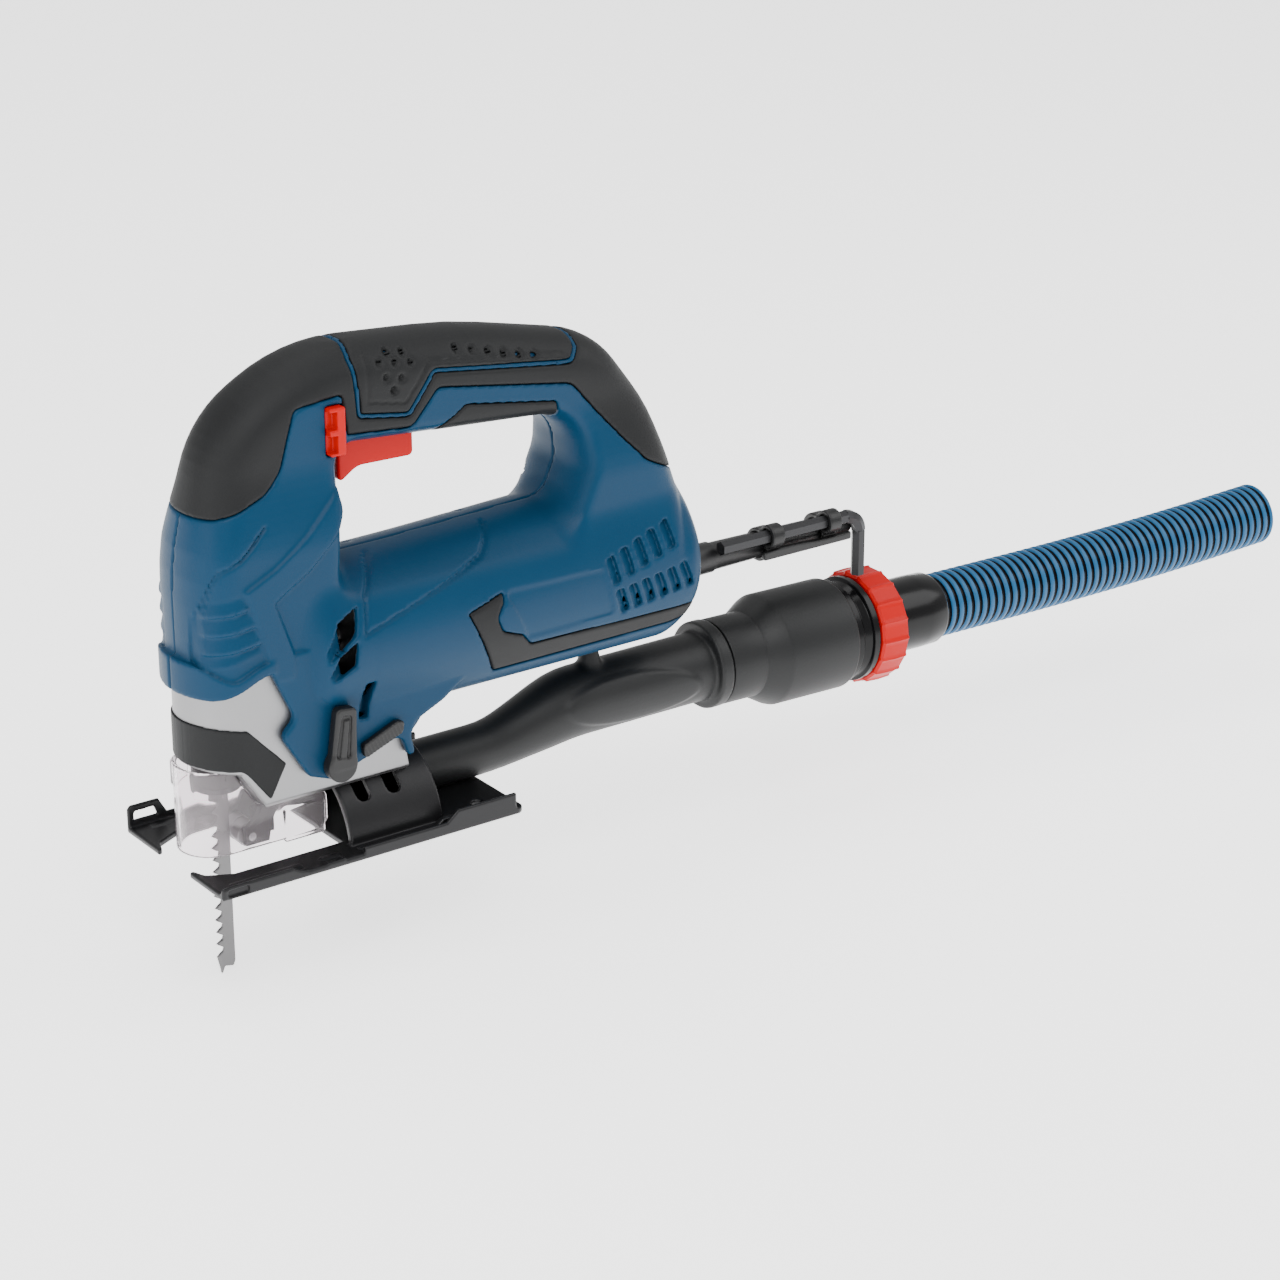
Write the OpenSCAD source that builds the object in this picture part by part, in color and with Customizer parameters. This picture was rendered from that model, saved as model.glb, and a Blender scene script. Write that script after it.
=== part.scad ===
// Corded barrel-body jigsaw with a tilting base plate, suction duct and hose.
// +X runs to the rear, +Y to the tool's right side, +Z up.
// The origin is on the sole, at the centre of the base plate.

/* [Base plate] */
// Length of the base plate, front to rear
base_length = 130; // [120:1:140]
// Width of the base plate
base_width = 72; // [68:1:78]
// Thickness of the plate
plate_t = 2.5; // [2:0.1:2.6]
// Height of the side rims beside the gear case
rim_h = 5; // [4:0.1:5]
// Radius of the round bridge that the body tilts on
bridge_r = 28.4; // [28:0.1:28.4]

/* [Gear case] */
// Half the width of the gear case
case_half = 20; // [20:0.1:20.5]
// Front end of the gear case
case_front = -59.5; // [-60:0.1:-59]
// Underside of the gear case
case_bottom = 22.4; // [22.4:0.1:23]

/* [Drive] */
// Height of the motor's axis
motor_z = 75; // [74.5:0.1:75.5]
// Gear module
gear_module = 0.7; // [0.7]
// Teeth on the motor pinion
pinion_teeth = 9; // [9]
// Teeth on the drive gear
gear_teeth = 45; // [45]
// Full stroke of the blade
stroke = 26; // [20:1:26]
// Place of the plunger's axis along the tool
plunger_x = -45.8; // [-46:0.1:-45.5]

/* [Blade] */
// Length of the blade from shank to tip
blade_length = 100; // [92:1:100]
// Thickness of the blade
blade_t = 1.3; // [1:0.1:1.5]
// Spacing of the teeth
tooth_pitch = 5; // [3:0.5:5]

/* [Motor housing] */
// Radius of the motor barrel
barrel_r = 30; // [29.5:0.1:31]
// Height of the barrel's axis
barrel_z = 77; // [76.5:0.1:77.5]
// Rear end of the barrel
body_rear = 155; // [153:1:157]
// Wall thickness of the housing shells
wall = 2.6; // [2:0.1:3]
// Thickness of the rubber overmoulds
skin = 1.6; // [1.4:0.1:1.8]

/* [Suction line] */
// Height of the duct's rear axis
duct_z = 21.6; // [21:0.1:22]
// Outer radius of the duct's rear tube
duct_r = 14; // [13:0.5:14.5]
// Outer diameter of the hose
hose_d = 27; // [26:0.5:28]

/* [Hidden] */
$fn = 64;
EPS = 0.05;
FIT = 0.05;               // running clearance on a radius

// Colours
BLUE = [0.10, 0.39, 0.58];
DARK_RUBBER = [0.20, 0.21, 0.22];
BLACK = [0.09, 0.09, 0.10];
SILVER = [0.75, 0.75, 0.76];
STEEL = [0.62, 0.63, 0.65];
RED = [0.85, 0.10, 0.08];
COPPER = [0.75, 0.43, 0.22];
BRONZE = [0.70, 0.55, 0.30];
CLEAR = [0.85, 0.88, 0.92, 0.4];

// Derived drive geometry
pinion_r = gear_module * pinion_teeth / 2;
gear_r = gear_module * gear_teeth / 2;
gear_z = motor_z + pinion_r + gear_r;
crank_r = stroke / 2;
gear_x0 = -31;
gear_x1 = -24;
yoke_half_h = 6;
yoke_x0 = -41.5;
yoke_x1 = -34;
clamp_z0 = 27.5;
clamp_z1 = 52;
rod_r = 5;
clamp_r = 7;
base_half_l = base_length / 2;
base_half_w = base_width / 2;
guard_half = 13;
guard_x = -48.9;
guard_rear = -7.5;
guard_travel = 3;         // forward travel before it comes off
line_tilt = 1.3;          // droop of the adapter line, in degrees
line_x = 172;
large_x = 32;             // start of the adapter's large end, along the line
ring_x = 78;              // front face of the lock ring, along the line
cuff_x = 92.6;            // front of the hose cuff, along the line
cuff_end = 120;
key_y = -7;
key_z = 72;
key_r = 5 / sqrt(3);      // circumradius of a 5 mm hexagon

// ---- helpers -------------------------------------------------------------

function unit(v) = v / norm(v);
function wrap(a) = a > 180 ? a - 360 : a < -180 ? a + 360 : a;

// Arc that rounds the corner b between a and c with radius r
function corner(a, b, c, r) =
    let (u = unit(a - b), w = unit(c - b), half = acos(u * w) / 2)
    let (o = b + unit(u + w) * r / sin(half))
    let (p = b + u * r / tan(half) - o, q = b + w * r / tan(half) - o)
    let (a0 = atan2(p.y, p.x), turn = wrap(atan2(q.y, q.x) - a0))
    let (n = max(2, ceil(abs(turn) / 12)))
    [for (k = [0:n]) o + r * [cos(a0 + turn * k / n), sin(a0 + turn * k / n)]];

// Outline from [x, z, radius] corners
function rounded(p) = [
    for (i = [0:len(p) - 1])
        let (a = p[(i + len(p) - 1) % len(p)], b = p[i], c = p[(i + 1) % len(p)])
        each b[2] > 0
            ? corner([a.x, a.y], [b.x, b.y], [c.x, c.y], b[2])
            : [[b.x, b.y]]];

// Clockwise corners moved inwards by d, with their radii changed to suit
function inset(p, d) = [
    for (i = [0:len(p) - 1])
        let (a = p[(i + len(p) - 1) % len(p)], b = p[i], c = p[(i + 1) % len(p)])
        let (u = unit([b.x - a.x, b.y - a.y]), w = unit([c.x - b.x, c.y - b.y]))
        let (nu = [u.y, -u.x], nw = [w.y, -w.x], m = (nu + nw) / (1 + nu * nw))
        let (convex = u.x * w.y - u.y * w.x < 0)
        [b.x + m.x * d, b.y + m.y * d, max(0.2, convex ? b[2] - d : b[2] + d)]];

// Side-view outline (x, z) as a slab from y0 to y1
module slab(points, y0, y1) {
    translate([0, y1, 0])
        rotate([90, 0, 0])
            linear_extrude(y1 - y0)
                polygon(points);
}

module along_x(x0, x1, r, y = 0, z = 0) {
    translate([x0, y, z])
        rotate([0, 90, 0])
            cylinder(r = r, h = x1 - x0);
}

module along_y(y0, y1, r, x = 0, z = 0) {
    translate([x, y1, z])
        rotate([90, 0, 0])
            cylinder(r = r, h = y1 - y0);
}

module along_z(z0, z1, r, x = 0, y = 0) {
    translate([x, y, z0])
        cylinder(r = r, h = z1 - z0);
}

module box(a, b) {
    translate(a)
        cube(b - a);
}

// Frame of the drooping adapter line: X along its axis from the duct's end
module on_line() {
    translate([line_x, 0, duct_z])
        rotate([0, line_tilt, 0])
            children();
}

module line_tube(x0, x1, r_out, r_in) {
    difference() {
        along_x(x0, x1, r_out);
        along_x(x0 - 1, x1 + 1, r_in);
    }
}

// ---- body outline ---------------------------------------------------------

// Corners of the body seen from its left side: [x, z, corner radius], clockwise
BODY = [
    [-59.5, 66, 0.5], [-59.8, 118, 110], [-46.5, 166, 46], [-8, 188.5, 70], [60, 183.5, 200],
    [119, 170.5, 36], [140.5, 142, 60], [154.5, 103, 60], [155, 60, 4], [148, 44, 12],
    [38, 44, 12], [24, 38, 3], [-20, 66, 0.5]];
// Hand opening, counter-clockwise
OPENING = [
    [0, 100, 3], [89, 100, 3], [99.5, 131, 8.5], [92, 143, 7], [40, 146.5, 2], [3, 150, 6]];
// Blue side cover beside the gear case
COVER = [
    [-44.8, 66], [-40, 80], [20, 80], [36, 50], [28, 46.5], [23.8, 41], [24.3, 31.5], [21.3, 29.8],
    [19, 42], [14, 37.5], [-5, 30.5], [-9.4, 28.2], [-20.4, 32.5], [-31.7, 50.4], [-25.2, 56.5],
    [-29, 73.7], [-31.8, 74.4]];
cover_half = 24;
column_half = 24;
handle_half = 17.5;

// Plan of the rounded front column: half-ellipse nose, straight sides
module column_plan(half, front, rear) {
    nose = 19;
    steps = 16;
    polygon(concat(
        [for (k = [0:steps]) let (a = 90 + 180 * k / steps)
            [front + nose + nose * cos(a), half * sin(a)]],
        [[rear, -half], [rear, half]]));
}

// Many-sided barrel along X
module barrel(x0, x1, r) {
    sides = 44;
    translate([x0, 0, barrel_z])
        rotate([90, 0, 90])
            linear_extrude(x1 - x0)
                polygon([for (k = [0:sides - 1]) let (a = 360 * (k + 0.5) / sides)
                         r * [cos(a), sin(a)]]);
}

// The body's whole outer form, drawn in by d
module body_form(d) {
    outline = rounded(inset(BODY, d));
    intersection() {
        slab(outline, -40, 40);
        union() {
            translate([0, 0, 24])
                linear_extrude(104 - d)
                    column_plan(column_half - d, case_front + d, 14);
            box([-80, -handle_half + d, 20], [200, handle_half - d, 220]);
            barrel(-16, body_rear + 15, barrel_r - d);
        }
    }
}

// Hand opening grown by d
module hand_hole(d) {
    slab(rounded(inset([for (i = [len(OPENING) - 1:-1:0]) OPENING[i]], -d)), -30, 30);
}

// Outer solid with the hand opening cut through the handle only
module body_solid(d) {
    difference() {
        body_form(d);
        difference() {
            hand_hole(d);
            barrel(-17, body_rear + 5, barrel_r - d);
        }
    }
}

// Zones that the rubber covers, in side view
module nose_zone() {
    slab([[-80, 133], [-62, 133], [-50, 141], [-32, 138], [-24, 150], [-18, 166], [-3, 176],
          [-3, 200], [-80, 200]], -40, 40);
}

module top_zone() {
    slab([[-2.4, 200], [-2.4, 176], [2, 160], [30, 160], [46, 171], [104, 160], [118, 148],
          [135, 120], [170, 116], [170, 200]], -40, 40);
}

module finger_zone() {
    slab([[42, 141], [42, 152.5], [92, 147.5], [92, 136]], -40, 40);
}

module bumper_zone() {
    slab([[44, 82], [52, 87], [61, 84], [68, 66], [150, 64.5], [150, 58], [53, 57.5]], -40, 40);
}

module skin_of(d) {
    difference() {
        body_solid(0);
        body_solid(d);
    }
}

// ---- gear case ------------------------------------------------------------

// Side outline of the gear case below the housing
CASE_SIDE = [
    [case_front - 1, 40], [-46, 38], [-36, case_bottom], [24.6, case_bottom], [22, 38],
    [20.5, 47], [-5, 47], [-6, 66], [case_front - 1, 66]];
inner_front = -56.6;      // front of the gear case inside the housing
crank_top = 115.8;
crank_floor = 74.4;

module case_envelope(d = 0) {
    intersection() {
        slab(CASE_SIDE, -40, 40);
        translate([0, 0, 20])
            linear_extrude(50)
                column_plan(case_half + d, case_front - d, 30);
    }
    translate([0, 0, 62])
        linear_extrude(crank_top + d - 62)
            column_plan(case_half + d, inner_front - d, -6 + d);
    along_z(crank_top - 1, 122, 9 + d, plunger_x);
}

module gear_case() {
    seat_r = bridge_r + 0.1;
    color(SILVER)
    difference() {
        case_envelope();
        // concave seat on the round bridge
        along_x(-7.2, 30, seat_r);
        // chamfered lower edges, which clear the plate at full tilt
        for (side = [-1, 1])
            translate([0, side * case_half, case_bottom])
                rotate([45, 0, 0])
                    cube([200, 3.2, 3.2], center = true);
        // clamp chamber in the nose
        along_z(0, 66, 10.6, plunger_x);
        // bush seats and plunger passage
        along_z(60, crank_floor, 8, plunger_x);
        along_z(crank_floor - 1, 130, rod_r + 1, plunger_x);
        along_z(114, 121.5, 7, plunger_x);
        // crank chamber
        intersection() {
            box([-55, -18.2, crank_floor], [gear_x1 + 1, 18.2, crank_top - 2.2]);
            translate([0, 0, 70])
                linear_extrude(50)
                    column_plan(case_half - 1.8, inner_front + 2, 0);
        }
        // bearing seat and shaft passage
        along_x(-15, -5, 11, 0, motor_z);
        along_x(-33, 0, 6.5, 0, motor_z);
        // gear axle seat
        along_x(-24, -12, 4, 0, gear_z);
        // pocket of the roller arm, open below
        box([-37, -9, 10], [-19, 9, 36]);
        along_y(-10, 10, 2.5, -24, 29);
        // hollow above the tilt screws, open to the motor bay
        box([-3.5, -15, 42], [18, 15, 80]);
        // tilt screw holes
        for (x = [3, 16])
            along_z(20, 45, 2.5, x);
        // orbit lever shaft
        along_y(-24, -8, 4, -9.5, 35.1 + 0.4);
    }
}

module front_band() {
    // rubber band round the nose, with its lower flaps
    band = [[case_front - 3, 41], [-46, 39.5], [-44, 38], [-35, 25.7], [-28, 39], [-43, 55],
            [-46, 55.5], [case_front - 3, 58]];
    color(DARK_RUBBER)
    difference() {
        intersection() {
            slab(band, -30, 30);
            translate([0, 0, 20])
                linear_extrude(50)
                    column_plan(case_half + 0.6, case_front - 0.6, 20);
        }
        translate([0, 0, 10])
            linear_extrude(80)
                column_plan(case_half, case_front, 30);
    }
}

// ---- housing shells ----------------------------------------------------------

// Hollow inside the shells, with a boss left round each screw
module housing_cavity() {
    bay_floor = 98;
    difference() {
        union() {
            // motor bay
            barrel(-7, body_rear - 5, barrel_r - wall);
            // handle and column interior
            difference() {
                slab(rounded(inset(BODY, wall + skin)), -14.5, 14.5);
                box([-100, -40, 0], [body_rear + 20, 40, bay_floor]);
                hand_hole(wall + skin);
            }
        }
        for (p = SCREWS)
            along_y(-30, 30, boss_r, p.x, p.y);
    }
}

module trigger_slot(d) {
    box([5.6 - d, -7 - d, 130], [38 + d, 7 + d, 160]);
}

module button_pocket(d) {
    box([-6.2 - d, -30, 149 - d], [1.8 + d, -10 - d, 171 + d]);
}

module housing_solid() {
    difference() {
        union() {
            body_solid(0);
            for (side = [-1, 1])
                slab(COVER, side < 0 ? -cover_half : case_half + FIT,
                     side < 0 ? -case_half - FIT : cover_half);
        }
        housing_cavity();
        case_envelope(FIT);
        // room for the plunger's top end
        along_z(118, 146, 6, plunger_x);
        // rubber skins
        intersection() {
            skin_of(skin);
            union() {
                nose_zone();
                top_zone();
                finger_zone();
                bumper_zone();
            }
        }
        trigger_slot(0.25);
        button_pocket(0.25);
        // cable entry
        along_x(body_rear - 12, body_rear + 10, 7.2, 0, 66.7);
        // upright jet slot in the left cover, and the two angled air outlets
        for (side = [-1, 1])
            slab([[3.4, 48], [7.6, 49], [8, 64], [3.6, 62]],
                 side < 0 ? -26 : 21.5, side < 0 ? -21.5 : 26);
        air_outlets();
        cooling_slots();
        // lever and slider recesses
        along_y(-26, -19, 4.3, -9.5, 35.5);
        screw_bores();
    }
}

// Housing screws, driven in from the right side
SCREWS = [[-33, 152], [-8, 140], [116, 146], [143, 118], [136, 54], [106, 112]];
boss_r = 5;
head_y = 11;

module screw_bores() {
    for (p = SCREWS) {
        along_y(-12, 30, 2, p.x, p.y);
        along_y(head_y, 40, 3.3, p.x, p.y);
    }
}

module air_outlets() {
    for (side = [-1, 1], t = [[[1.7, 86.2], [1.5, 80.4], [-6.7, 83.2]],
                              [[1.4, 78.5], [1.3, 73.6], [-7.1, 72.5]]])
        slab(t, side < 0 ? -32 : 21.5, side < 0 ? -21.5 : 32);
}

// Slanted cooling slots in the barrel's rear sides
module cooling_slots() {
    for (side = [-1, 1]) {
        for (k = [0:4])
            slab([for (p = [[0, 0], [4.4, 2.5], [11, -8], [6, -10]])
                  [106 + 7.8 * k + p.x, 94 + 2.2 * k + p.y]],
                 side < 0 ? -32 : 24, side < 0 ? -24 : 32);
        for (k = [0:5])
            slab([for (p = [[0, 0], [4, 1], [7, -9], [3, -9.5]])
                  [109 + 6.6 * k + p.x, 79.5 + 0.9 * k + p.y]],
                 side < 0 ? -32 : 24, side < 0 ? -24 : 32);
    }
}

module housing_left() {
    color(BLUE)
    intersection() {
        housing_solid();
        box([-100, -50, 0], [300, 0, 250]);
    }
}

module housing_right() {
    color(BLUE)
    intersection() {
        housing_solid();
        box([-100, 0, 0], [300, 50, 250]);
    }
}

module rubber(zone_name) {
    color(DARK_RUBBER)
    difference() {
        intersection() {
            skin_of(skin);
            union() {
                if (zone_name == "nose") nose_zone();
                if (zone_name == "top") top_zone();
                if (zone_name == "finger") finger_zone();
                if (zone_name == "bumper") bumper_zone();
            }
        }
        trigger_slot(0.25);
        button_pocket(0.25);
        cooling_slots();
        screw_bores();
    }
}

module nose_grip() {
    rubber("nose");
}

module top_grip() {
    rubber("top");
}

module finger_grip() {
    rubber("finger");
}

module bumper_left() {
    intersection() {
        rubber("bumper");
        box([0, -50, 0], [200, -10, 200]);
    }
}

module bumper_right() {
    intersection() {
        rubber("bumper");
        box([0, 10, 0], [200, 50, 200]);
    }
}

module housing_screws() {
    color(STEEL)
    for (p = SCREWS)
        difference() {
            union() {
                along_y(-12, head_y + 1, 2, p.x, p.y);
                along_y(head_y, head_y + 2.6, 3.2, p.x, p.y);
            }
            along_y(head_y + 1, head_y + 4, 1.6, p.x, p.y, $fn = 6);
        }
}

// ---- controls ------------------------------------------------------------------

module trigger() {
    color(RED)
    slab(rounded([[5.8, 134, 1.5], [5.8, 153, 0.5], [37.6, 153, 0.5], [37.6, 139, 2], [14, 139.5, 8]]),
         -6.9, 6.9);
}

module lock_button() {
    color(RED)
    difference() {
        union() {
            box([-6.2, -21.8, 149], [1.8, -14.9, 171]);
        }
        along_y(-30, -17, 4, -4, 173);
    }
}

module switch_module() {
    color(BLACK) {
        box([-2, -8.5, 161], [42, 8.5, 176]);
    }
}

module orbit_lever() {
    x0 = -9.5;
    z0 = 35.5;
    color(BLACK)
    union() {
        along_y(-29.3, -24.2, 6, x0, z0);
        slab([[x0 - 5.4, z0 + 2], [x0 - 1.5, z0 + 22.5], [x0 + 6.6, z0 + 21.5], [x0 + 5.4, z0 - 2]],
             -29.3, -25);
        along_y(-24.5, -9, 4 - FIT, x0, z0);
    }
}

module blower_slider() {
    color(BLACK)
    slab([[1, 35], [17.5, 41.5], [18.6, 46], [15, 46.5], [0.4, 40.5]], -27.4, -24.2);
}

// ---- motor -----------------------------------------------------------------------

module stator() {
    color([0.35, 0.36, 0.38])
    difference() {
        along_x(28, 74, 25, 0, motor_z);
        along_x(27, 75, 17.2, 0, motor_z);
    }
}

module armature() {
    color(COPPER) {
        along_x(30, 72, 16.7, 0, motor_z);
        along_x(24, 78, 12.5, 0, motor_z);
    }
    color(STEEL) {
        along_x(-23, 121, 4, 0, motor_z);
        translate([-32, 0, motor_z])
            rotate([90, 0, 90])
                linear_extrude(9.5)
                    gear_outline(pinion_teeth, 90);
    }
}

module commutator() {
    color(COPPER)
    difference() {
        along_x(86, 101, 11, 0, motor_z);
        along_x(85, 102, 4, 0, motor_z);
        for (a = [0:15:345])
            translate([0, 0, motor_z])
                rotate([a, 0, 0])
                    box([85, -0.3, 10.2], [102, 0.3, 12]);
    }
}

module cooling_fan() {
    color(BLACK)
    difference() {
        union() {
            along_x(6, 8, 24, 0, motor_z);
            along_x(6, 18, 7, 0, motor_z);
            for (a = [0:24:336])
                translate([0, 0, motor_z])
                    rotate([a, 0, 0])
                        box([7, -0.6, 6], [17, 0.6, 23.5]);
        }
        along_x(0, 20, 4, 0, motor_z);
    }
}

module ball_bearing(x0, x1, r_out, r_in) {
    color(STEEL)
    difference() {
        along_x(x0, x1, r_out, 0, motor_z);
        along_x(x0 - 1, x1 + 1, r_in, 0, motor_z);
    }
}

module front_bearing() {
    ball_bearing(-13, -6, 11, 4 + FIT);
}

module rear_bearing() {
    ball_bearing(112, 119, 9.5, 4 + FIT);
    // seat of the rear bearing
    color(BLACK)
    difference() {
        along_x(112, 119, 12, 0, motor_z);
        along_x(111, 120, 9.5, 0, motor_z);
    }
}

module carbon_brushes() {
    color([0.15, 0.15, 0.15])
    for (side = [-1, 1])
        box([89.5, side < 0 ? -21 : 11.15, motor_z - 3],
            [97.5, side < 0 ? -11.15 : 21, motor_z + 3]);
}

module brush_holders() {
    color(BRONZE)
    for (side = [-1, 1])
        difference() {
            box([87.5, side < 0 ? -24 : 13, motor_z - 5],
                [99.5, side < 0 ? -13 : 24, motor_z + 5]);
            box([89.5, side < 0 ? -21 : 12, motor_z - 3],
                [97.5, side < 0 ? -12 : 21, motor_z + 3]);
        }
}

// ---- gears and plunger ----------------------------------------------------------------

pressure = 25;
function involute(a) = tan(a) * 180 / PI - a;

// Spur gear outline with a tooth centred on the given direction
module gear_outline(teeth, direction) {
    pitch_r = gear_module * teeth / 2;
    base_r = pitch_r * cos(pressure);
    tip_r = pitch_r + 0.8 * gear_module;
    root_r = pitch_r - 1.2 * gear_module;
    start_r = max(base_r, root_r);
    half = 90 / teeth - asin(0.045 / pitch_r) + involute(pressure);
    flank = [for (k = [0:4]) let (r = start_r + (tip_r - start_r) * k / 4)
             [r, half - involute(acos(min(1, base_r / r)))]];
    polygon([for (t = [0:teeth - 1]) let (c = direction + 360 * t / teeth) each concat(
        [[root_r * cos(c - flank[0][1]), root_r * sin(c - flank[0][1])]],
        [for (f = flank) f[0] * [cos(c - f[1]), sin(c - f[1])]],
        [for (k = [4:-1:0]) flank[k][0] * [cos(c + flank[k][1]), sin(c + flank[k][1])]],
        [[root_r * cos(c + flank[0][1]), root_r * sin(c + flank[0][1])]])]);
}

module drive_gear() {
    gap_direction = -90 + 180 / gear_teeth;
    color(STEEL)
    difference() {
        union() {
            translate([gear_x0, 0, gear_z])
                rotate([90, 0, 90])
                    linear_extrude(gear_x1 - gear_x0)
                        gear_outline(gear_teeth, gap_direction);
            along_x(gear_x0 - 2.7, gear_x0 + 1, 2.5, crank_r, gear_z);
        }
        along_x(gear_x0 - 1, gear_x1 + 1, 4 + FIT, 0, gear_z);
        // balance holes on the crank's side
        for (a = [-55, 55])
            translate([0, 0, gear_z])
                rotate([a, 0, 0])
                    along_x(gear_x0 - 1, gear_x1 + 1, 2.4, 10);
    }
}

module gear_axle() {
    color(STEEL) {
        along_x(gear_x0 + 0.5, -12, 4, 0, gear_z);
        along_x(gear_x0 - 1.2, gear_x0 - 0.2, 5.5, 0, gear_z);
        along_x(gear_x0 - 0.3, gear_x0 + 1, 3.9, 0, gear_z);
    }
}

module plunger() {
    color(STEEL)
    difference() {
        union() {
            along_z(clamp_z1, gear_z + 1, rod_r, plunger_x);
            along_z(gear_z, 131, 3.5, plunger_x);
            box([yoke_x0, -17.6, gear_z - yoke_half_h], [yoke_x1, 17.6, gear_z + yoke_half_h]);
            box([plunger_x, -4, gear_z - yoke_half_h], [yoke_x0 + 1, 4, gear_z + yoke_half_h]);
        }
        // slot that the crank pin runs in
        box([yoke_x1 - 4.5, -15.8, gear_z - 2.7], [yoke_x1 + 1, 15.8, gear_z + 2.7]);
        // nose relief of the yoke inside the round case
        for (side = [-1, 1])
            translate([yoke_x0, side * 17.6, gear_z])
                rotate([0, 0, 45])
                    cube([2.4, 2.4, 30], center = true);
    }
}

module bush(z0, z1, r_out, r_in) {
    color(BRONZE)
    difference() {
        along_z(z0, z1, r_out, plunger_x);
        along_z(z0 - 1, z1 + 1, r_in, plunger_x);
    }
}

module lower_bush() {
    bush(66.2, crank_floor, 8, rod_r + FIT);
}

module upper_bush() {
    bush(114, 121.5, 7, 3.5 + FIT);
}

module blade_clamp() {
    color([0.25, 0.25, 0.27])
    difference() {
        union() {
            along_z(clamp_z0, clamp_z1, clamp_r, plunger_x);
            along_z(clamp_z0, clamp_z0 + 2, clamp_r + 1.4, plunger_x);
        }
        // slot for the blade's shank
        box([plunger_x - 4.2, -blade_t / 2 - 0.02, clamp_z0 - 1],
            [plunger_x + 4.2, blade_t / 2 + 0.02, clamp_z1 - 0.9]);
        // groove for the turning ring
    }
}

module clamp_ring() {
    color(BLACK)
    difference() {
        union() {
            along_z(30, 46, clamp_r + 2.2, plunger_x);
            box([plunger_x - 2, -10.3, 33], [plunger_x + 2, -7.6, 43]);
        }
        along_z(29, 47, clamp_r + FIT, plunger_x);
    }
}

// Toothed T-shank blade, teeth to the front
module saw_blade() {
    tip_z = clamp_z1 - 1 - blade_length;
    back = -42;
    front = -49.4;
    shoulder = 25;
    teeth = floor((shoulder - tip_z - 8) / tooth_pitch);
    color(STEEL)
    slab(concat(
        [[back, shoulder], [-43.2, shoulder + 3], [-43.2, clamp_z1 - 1], [-48.8, clamp_z1 - 1],
         [-48.8, shoulder + 3], [front, shoulder]],
        [for (k = [0:teeth - 1], p = [[0, -0.4], [2.3, -2.2], [2.1, -4.1], [0, -4.6]])
            [front + p.x * 0.75, shoulder - 2 - tooth_pitch * k + p.y]],
        [[-47.4, tip_z + 0.5], [-46, tip_z], [-43, tip_z + 4], [back, tip_z + 9]]),
        -blade_t / 2, blade_t / 2);
}

// ---- roller and orbit parts ----------------------------------------------------------------

roller_x = -36.9;
roller_z = 7.6;
roller_r = 4.7;
arm_x = -24;
arm_z = 29;

module roller_arm() {
    color([0.22, 0.22, 0.24])
    difference() {
        union() {
            for (side = [-1, 1])
                slab([[-39.5, 4.4], [-39.5, 10.8], [-34.5, 14.5], [-30, 23], [-26.5, 33],
                      [-21.5, 33], [-21.5, 25], [-28.5, 12], [-30, 4.4]],
                     side < 0 ? -8.2 : 5.6, side < 0 ? -5.6 : 8.2);
            box([-30, -8.2, 8], [-27.8, 8.2, 13]);
            along_y(-9.8, 9.8, 2.45, arm_x, arm_z);
        }
        along_y(-20, 20, 1.6, roller_x, roller_z);
    }
}

module roller_pin() {
    color(STEEL)
    along_y(-8.2, 8.2, 1.6, roller_x, roller_z);
}

module guide_roller() {
    color(STEEL)
    difference() {
        along_y(-5.3, 5.3, roller_r, roller_x, roller_z);
        along_y(-6, 6, 1.6 + FIT, roller_x, roller_z);
        // groove that guides the blade's back
        difference() {
            along_y(-0.8, 0.8, roller_r + 1, roller_x, roller_z);
            along_y(-0.9, 0.9, roller_r - 0.35, roller_x, roller_z);
        }
    }
}

// ---- chip guard ----------------------------------------------------------------------------------

// Plan of the guard: round nose and straight sides
module guard_plan(half, rear) {
    steps = 20;
    polygon(concat(
        [for (k = [0:steps]) let (a = 90 + 180 * k / steps)
            [guard_x + half * cos(a), half * sin(a)]],
        [[rear, -half], [rear, half]]));
}

module chip_guard() {
    color(CLEAR)
    difference() {
        intersection() {
            translate([0, 0, 5])
                linear_extrude(35)
                    guard_plan(guard_half, guard_rear);
            slab([[-70, 5], [-70, 39.4], [-46.2, 37.4], [-36.4, case_bottom - 0.5], [-9, 21],
                  [guard_rear, 18], [guard_rear, 8], [-12, 5]], -40, 40);
        }
        translate([0, 0, 4])
            linear_extrude(60)
                guard_plan(guard_half - 1.8, 10);
    }
}

// ---- base plate ------------------------------------------------------------------------------------

// Half-width of the blade opening at each place, so the tilted guard passes through it
function opening_half(x) =
    let (nose = guard_x - guard_travel)
    let (w = x < nose ? sqrt(max(0, guard_half ^ 2 - (x - nose) ^ 2)) : guard_half)
    w * sqrt(2) + plate_t + 1;

module blade_opening() {
    mouth = 11.5;
    stations = [for (k = [0:10]) -63.4 + 13.6 * (1 - cos(9 * k))];
    rear = -6.6;
    polygon(concat(
        [[-70, -mouth], [-63.5, -mouth]],
        [for (x = stations) [x, -max(mouth, opening_half(x))]],
        [[rear, -opening_half(0)], [rear, opening_half(0)]],
        [for (k = [len(stations) - 1:-1:0]) [stations[k], max(mouth, opening_half(stations[k]))]],
        [[-63.5, mouth], [-70, mouth]]));
}

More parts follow.
